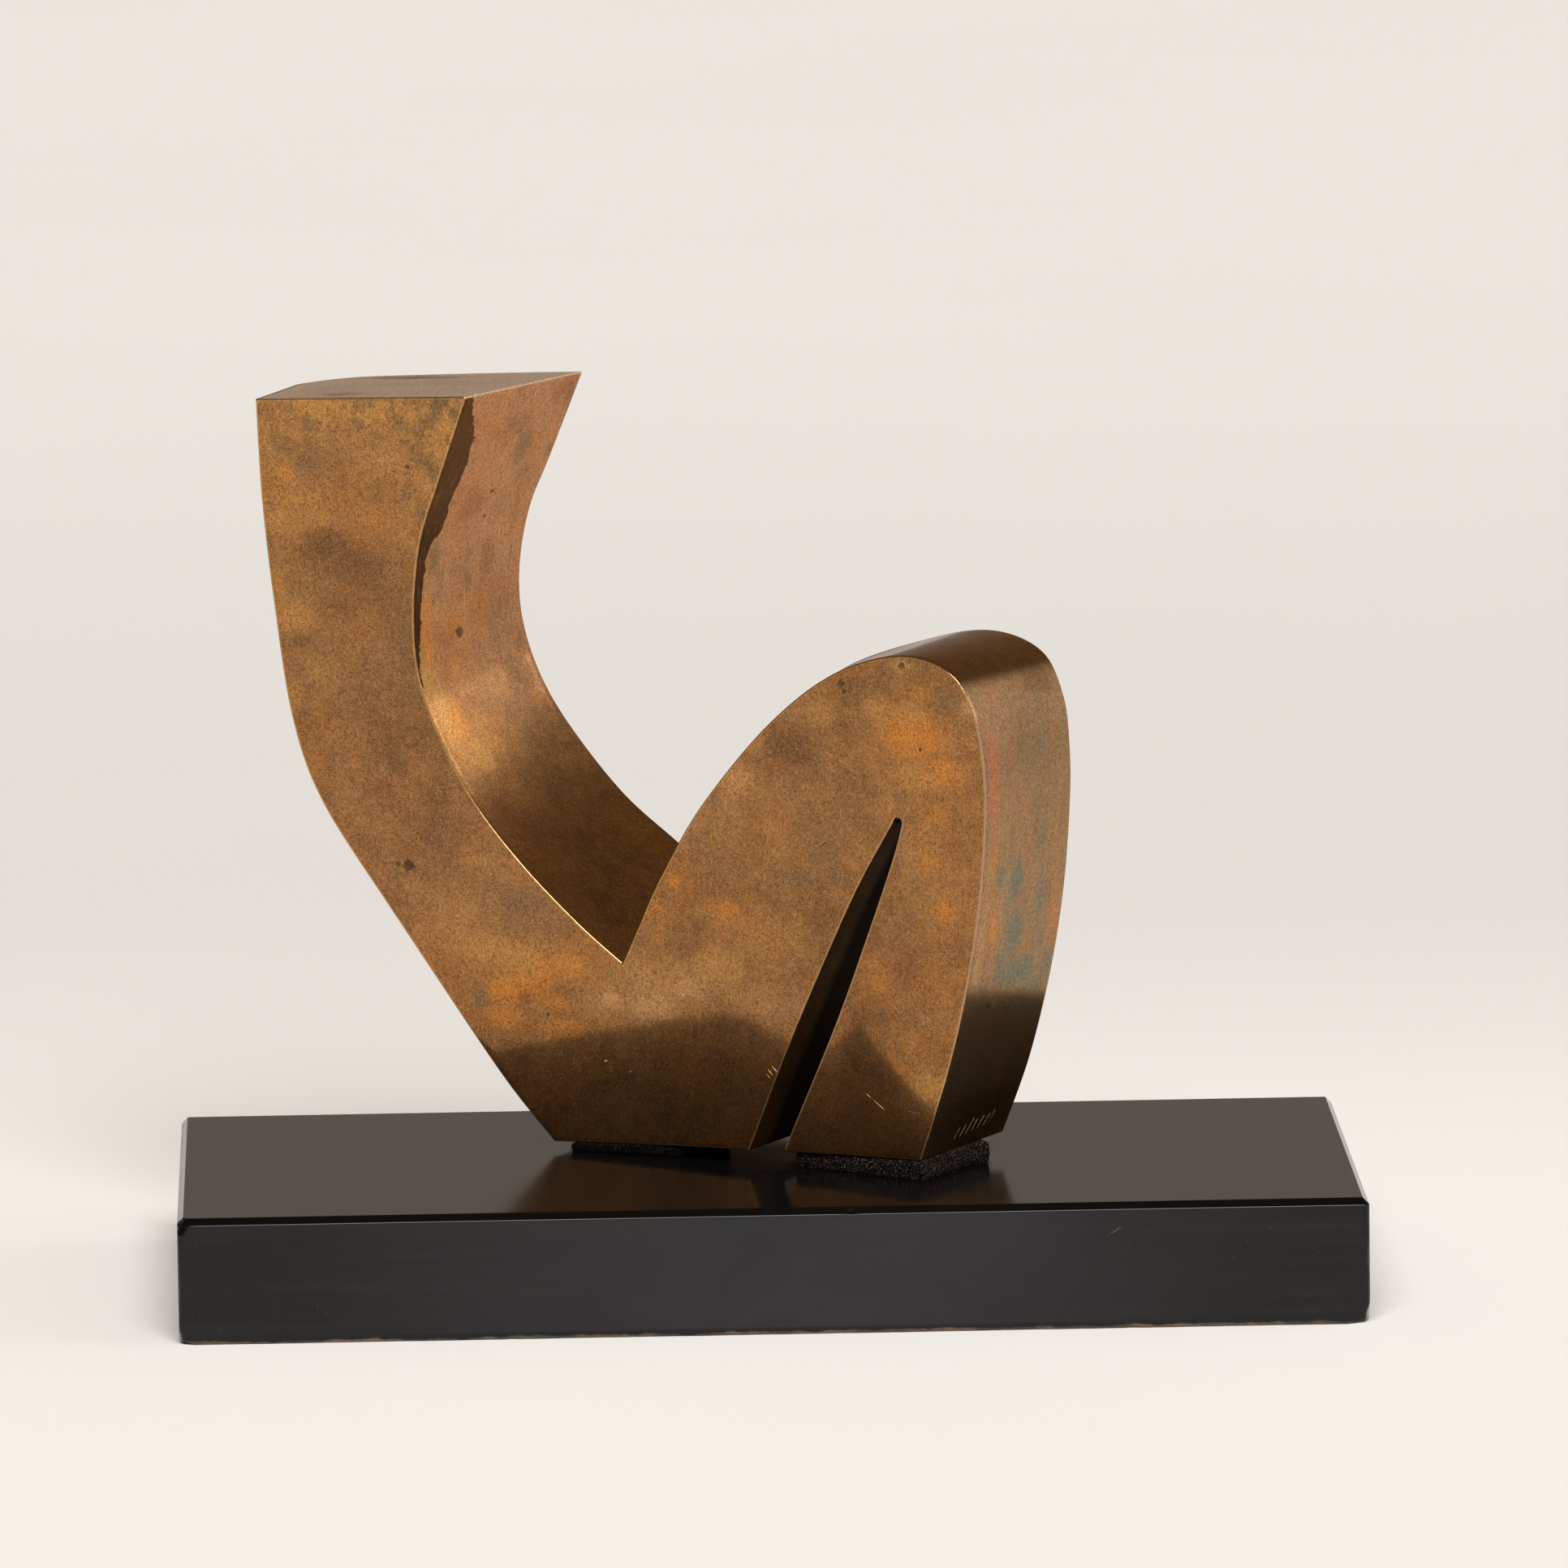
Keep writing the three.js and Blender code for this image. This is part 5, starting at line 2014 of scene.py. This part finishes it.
@dataclass
class FeltPad:
    """One hand-cut wool felt between the block and a sole, with fibres that stand out of its sides."""

    name: str
    node: str
    finish: FeltFinish
    shape: FigureShape
    corners: tuple[Point2, ...]
    fibres: int
    seed: int
    bottom: float = 30.05
    corner: float = 0.9
    step: float = 0.55
    levels: int = 9
    fibre_steps: int = 5

    def _sole(self, flat: np.ndarray) -> np.ndarray:
        """Height of the sole above points in plan."""
        up = self.shape.axes()[:, 2]
        x0, y0, z0 = self.shape.origin
        return z0 - (up[0] * (flat[:, 0] - x0) + up[1] * (flat[:, 1] - y0)) / up[2]

    def _border(self) -> np.ndarray:
        """Set closely spaced points around the cut, with softened corners.

        Returns:
            The points in plan.
        """
        corners = np.array(self.corners)
        ring: list[np.ndarray] = []
        for index, here in enumerate(corners):
            before, after = corners[index - 1], corners[(index + 1) % len(corners)]
            back, on = unit(before - here) * self.corner, unit(after - here) * self.corner
            ring += [here + back * (1 - share) ** 2 + on * share**2 for share in (0.0, 0.25, 0.5, 0.75, 1.0)]
            start, far = here + on, after - on
            pieces = max(2, int(np.linalg.norm(far - start) // self.step))
            ring += [start + (far - start) * i / pieces for i in range(1, pieces)]
        return np.array(ring)

    def build(self) -> tuple[np.ndarray, Faces]:
        """Build the pad's body: a thin block with a lumpy, slightly swollen side.

        Returns:
            Points and faces.
        """
        rng = np.random.default_rng(self.seed)
        border = self._border()
        outward = unit(border - border.mean(0))
        top = self._sole(border) - 0.02
        rings = []
        for level in range(self.levels + 1):
            share = level / self.levels
            swell = 0.28 * math.sin(math.pi * share) - 0.35 * (abs(share - 0.5) * 2) ** 6
            lumps = rng.normal(0, 0.07, len(border))
            lumps = (lumps + np.roll(lumps, 1) + np.roll(lumps, -1)) / 2
            flat = border + outward * (swell + lumps)[:, None]
            rings.append(np.column_stack([flat, self.bottom + (top - self.bottom) * share]))
        draft = MeshDraft(rings, upward=True)
        for index, flip in ((0, True), (self.levels, False)):
            flat = rings[index][:, :2]
            inner = clear_inside(even_inside(flat, 2.0), flat, 1.0)
            height = np.full(len(inner), self.bottom) if flip else self._sole(inner) - 0.02
            draft.cap(index, flat, inner, np.column_stack([inner, height]), flip)
        return draft.points, draft.faces

    def _fibre(self, rng: random.Random, here: np.ndarray, out: np.ndarray) -> list[np.ndarray]:
        """Draw one curled fibre that thins toward its end.

        Args:
            rng: Source of random numbers.
            here: Where it leaves the pad.
            out: Direction away from the pad in plan.

        Returns:
            Its points, three around each step.
        """
        side = np.array([-out[1], out[0]])
        drift = out * rng.uniform(0.2, 1.0) + side * rng.gauss(0, 0.9)
        heading = unit(np.array([*drift, rng.gauss(-0.1, 0.55)]))
        size = rng.uniform(0.5, 1.5) if rng.random() < 0.9 else rng.uniform(1.5, 2.6)
        thick = rng.uniform(0.018, 0.034)
        points = []
        for step in range(self.fibre_steps + 1):
            heading = unit(heading + np.array([rng.gauss(0, 0.28) for _ in range(3)]))
            if step:
                here = here + heading * size / self.fibre_steps
            here[2] = max(here[2], self.bottom + 0.06)
            across = np.cross(heading, (0, 0, 1.0))
            across /= np.linalg.norm(across) + 1e-9
            upward = np.cross(across, heading)
            radius = thick * (1 - 0.6 * step / self.fibre_steps)
            for angle in (2 * math.pi * corner / 3 for corner in range(3)):
                points.append(here + (across * math.cos(angle) + upward * math.sin(angle)) * radius)
        return points

    def build_fibres(self) -> tuple[np.ndarray, Faces]:
        """Build short curled fibres that stand out of the pad's side.

        Returns:
            Points and faces.
        """
        rng = random.Random(self.seed + 50)
        border = self._border()
        outward = unit(border - border.mean(0))
        top = self._sole(border) - 0.1
        points: list[np.ndarray] = []
        faces: Faces = []
        for _ in range(self.fibres):
            index = rng.randrange(len(border))
            share = rng.random() if rng.random() < 0.6 else rng.random() ** 3
            z = self.bottom + 0.05 + (top[index] - self.bottom - 0.1) * share
            base = len(points)
            points += self._fibre(rng, np.array([*border[index], z]), outward[index])
            for near in range(base, base + self.fibre_steps * 3, 3):
                for i, j in ((0, 1), (1, 2), (2, 0)):
                    faces.append((near + i, near + j, near + j + 3, near + i + 3))
            tip = len(points) - 3
            faces += [(base + 2, base + 1, base), (tip, tip + 1, tip + 2)]
        return np.array(points), faces

    def dress(self, effects: Effects) -> list[Piece]:
        """Make the pad and its fibres, in the CAD node's place.

        Args:
            effects: The shared node groups.

        Returns:
            The pieces.
        """
        material = self.finish.material(effects)
        body = make_piece(f"{self.name}_body", *self.build(), material, Slot.FELT)
        fuzz = make_piece(f"{self.name}_fibres", *self.build_fibres(), material, Slot.FELT)
        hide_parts(self.node)
        return [body, fuzz]


@dataclass(frozen=True)
class SoftBox:
    """A bright rectangle of the surroundings, by its bearing from +Y toward +X and its height in degrees."""

    bearings: Point2
    heights: Point2
    radiance: float


@dataclass
class Studio:
    """A pale floor under soft light: bright low surroundings, a dark ceiling and large lights."""

    floor: Colour = (0.86, 0.835, 0.815)
    glow: Colour = (0.90, 0.865, 0.84)
    dusk: Colour = (0.285, 0.245, 0.21)
    ceiling: Colour = (0.17, 0.127, 0.075)
    shadow: Colour = (0.13, 0.105, 0.08)
    boxes: tuple[SoftBox, ...] = (SoftBox((65.2, 118.0), (12.4, 28.0), 2.6),)
    sun: float = 3.65
    sun_height: float = 46.0
    sun_angle: float = 40.0
    floor_radius: float = 40.0

    def build_world(self) -> None:
        """Set the surroundings: a glow near the horizon, a dark ceiling and soft boxes."""
        world = bpy.data.worlds.new("soft_room")
        bpy.context.scene.world = world
        world.use_nodes = True
        sheet = NodeSheet(world.node_tree)
        x, y, z = sheet.axes(sheet.node("ShaderNodeTexCoord").outputs["Generated"])
        to_degrees = 180 / math.pi
        height = sheet.times(sheet.math("ARCSINE", z), to_degrees)
        bearing = sheet.times(sheet.math("ARCTAN2", x, y), to_degrees)
        aside = sheet.ramp(bearing, 12.0, 63.0)
        low = sheet.plus(-8.0, sheet.times(aside, 27.0))
        high = sheet.plus(3.0, sheet.times(aside, 39.0))
        colour = sheet.blend(sheet.ramp(height, 8.0, 30.0), self.dusk, self.ceiling)
        colour = sheet.blend(sheet.ramp(height, low, high), self.glow, colour)
        left = sheet.times(sheet.ramp(bearing, -165.0, -145.0), sheet.ramp(bearing, -75.0, -95.0))
        left = sheet.times(left, sheet.ramp(height, 1.0, 3.8))
        colour = sheet.blend(left, colour, self.shadow)
        for box in self.boxes:
            inside: object = 1.0
            for value, (start, end) in ((bearing, box.bearings), (height, box.heights)):
                inside = sheet.times(inside, sheet.ramp(value, start - 2.2, start + 2.2))
                inside = sheet.times(inside, sheet.inverse(sheet.ramp(value, end - 4.0, end + 4.0)))
            colour = sheet.blend(inside, colour, (box.radiance,) * 3)
        backdrop = world.node_tree.nodes["Background"]
        sheet.feed(backdrop.inputs["Color"], colour)
        sheet.feed(backdrop.inputs["Strength"], 1.0)

    def paper(self, effects: Effects) -> Material:
        """Build the floor's finish: pale paper with painted shade that darkens it behind the object and far
        away.

        Args:
            effects: The shared node groups.

        Returns:
            The material.
        """
        sheet = FinishSheet("pale_paper", effects)
        fine = sheet.noise(sheet.place, 3.0, 3.0, 0.5)
        colour = sheet.blend(fine, self.floor, tuple(part * 0.975 for part in self.floor))
        across, behind, _ = sheet.axes(sheet.place)
        # Painted shade: the floor darkens behind the object, lightens a little again further back, and
        # darkens far away.
        shade = sheet.times(sheet.ramp(behind, 0.05, 0.60), 0.165)
        shade = sheet.minus(shade, sheet.times(sheet.ramp(behind, 0.73, 2.0), 0.065))
        far = sheet.minus(behind, sheet.times(sheet.size(across), 1.2))
        shade = sheet.plus(shade, sheet.times(sheet.ramp(far, 3.2, 6.5), 0.6))
        colour = sheet.blend(shade, colour, (0.0, 0.0, 0.0))
        return sheet.shade(Base_Color=colour, Roughness=0.85, Specular_IOR_Level=0.1)

    def build_floor(self, effects: Effects) -> None:
        """Lay the floor.

        Args:
            effects: The shared node groups.
        """
        mesh = bpy.data.meshes.new("pale_floor")
        shape = bmesh.new()
        bmesh.ops.create_circle(shape, cap_ends=True, segments=128, radius=self.floor_radius)
        shape.to_mesh(mesh)
        shape.free()
        mesh.materials.append(self.paper(effects))
        floor = bpy.data.objects.new("pale_floor", mesh)
        bpy.context.scene.collection.objects.link(floor)

    def build_sun(self) -> None:
        """Hang one very wide sun in front of the object and above it."""
        data = bpy.data.lights.new("front_light", "SUN")
        data.energy = self.sun
        data.angle = math.radians(self.sun_angle)
        height = math.radians(self.sun_height)
        light = bpy.data.objects.new("front_light", data)
        toward = Vector((0, -math.cos(height), math.sin(height)))
        light.rotation_euler = toward.to_track_quat("Z", "Y").to_euler()
        bpy.context.scene.collection.objects.link(light)

    def build(self, effects: Effects) -> None:
        """Build the whole studio and set how the picture is toned.

        Args:
            effects: The shared node groups.
        """
        self.build_world()
        self.build_floor(effects)
        self.build_sun()
        scene = bpy.context.scene
        scene.view_settings.view_transform = "Standard"
        scene.view_settings.look = "None"


@dataclass(frozen=True)
class StudioCamera:
    """The camera, as the block's edges in the photograph fix it."""

    place: Axes = (-96.575, -3650.65, 686.36)
    focal_pixels: float = 19122.16
    yaw: float = math.radians(1.6041)
    pitch: float = math.radians(8.8152)
    roll: float = math.radians(-0.7537)
    sensor: float = 36.0
    reach: float = 100.0

    def build(self) -> None:
        """Set up the camera."""
        data = bpy.data.cameras.new("studio_camera")
        data.sensor_fit = "HORIZONTAL"
        data.sensor_width = self.sensor
        data.lens = self.focal_pixels / IMAGE_SIDE * self.sensor
        data.clip_end = self.reach
        level = math.cos(self.pitch)
        ahead = Vector((math.sin(self.yaw) * level, math.cos(self.yaw) * level, -math.sin(self.pitch)))
        right = Vector((math.cos(self.yaw), -math.sin(self.yaw), 0))
        up = right.cross(ahead)
        side = right * math.cos(self.roll) + up * math.sin(self.roll)
        top = up * math.cos(self.roll) - right * math.sin(self.roll)
        camera = bpy.data.objects.new("studio_camera", data)
        turned = Matrix((side, top, -ahead)).transposed().to_4x4()
        camera.matrix_world = Matrix.Translation(Vector(self.place) * MM) @ turned
        bpy.context.scene.collection.objects.link(camera)
        bpy.context.scene.camera = camera


def report(piece: Piece) -> None:
    """Log a piece's name and number of faces."""
    LOG.info("%s: %d faces", piece.name, len(piece.data.polygons))


def main() -> None:
    """Build the studio and every piece in order."""
    logging.basicConfig(level=logging.INFO, format="%(name)s %(message)s")
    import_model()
    StudioCamera().build()
    effects = Effects()
    Studio().build(effects)
    shape = FigureShape()
    report(BronzeFigure(shape, BronzeFinish()).dress(effects))
    marks = ScratchedMarks(shape, BareBronzeFinish())
    report(marks.dress(effects, "bright_scratches", Place.FRONT, marks.scratches))
    pale_marks = ScratchedMarks(shape, BareBronzeFinish("pale_bronze", (0.85, 0.74, 0.58)))
    report(pale_marks.dress(effects, "foot_strokes", Place.SHIN, pale_marks.row_of_strokes()))
    report(WoodBlock(WoodFinish()).dress(effects))
    left = FeltPad(
        "left_felt",
        "felt_pad_left",
        FeltFinish("dark_felt", wool=(0.001, 0.0008, 0.0006), fibre=(0.03, 0.022, 0.017)),
        shape,
        corners=((-46.1, 11.3), (-20.4, -0.2), (-7.6, 28.4), (-33.0, 39.6)),
        fibres=900,
        seed=11,
    )
    right = FeltPad(
        "right_felt",
        "felt_pad_right",
        FeltFinish("brown_felt", wool=(0.0025, 0.0018, 0.0014), fibre=(0.15, 0.105, 0.085)),
        shape,
        corners=((7.0, -15.4), (36.3, -38.4), (48.6, -17.1), (53.0, -14.3), (51.0, -8.6), (21.6, 10.4)),
        fibres=2600,
        seed=23,
    )
    for pad in (left, right):
        for piece in pad.dress(effects):
            report(piece)


if __name__ == "__main__":
    main()
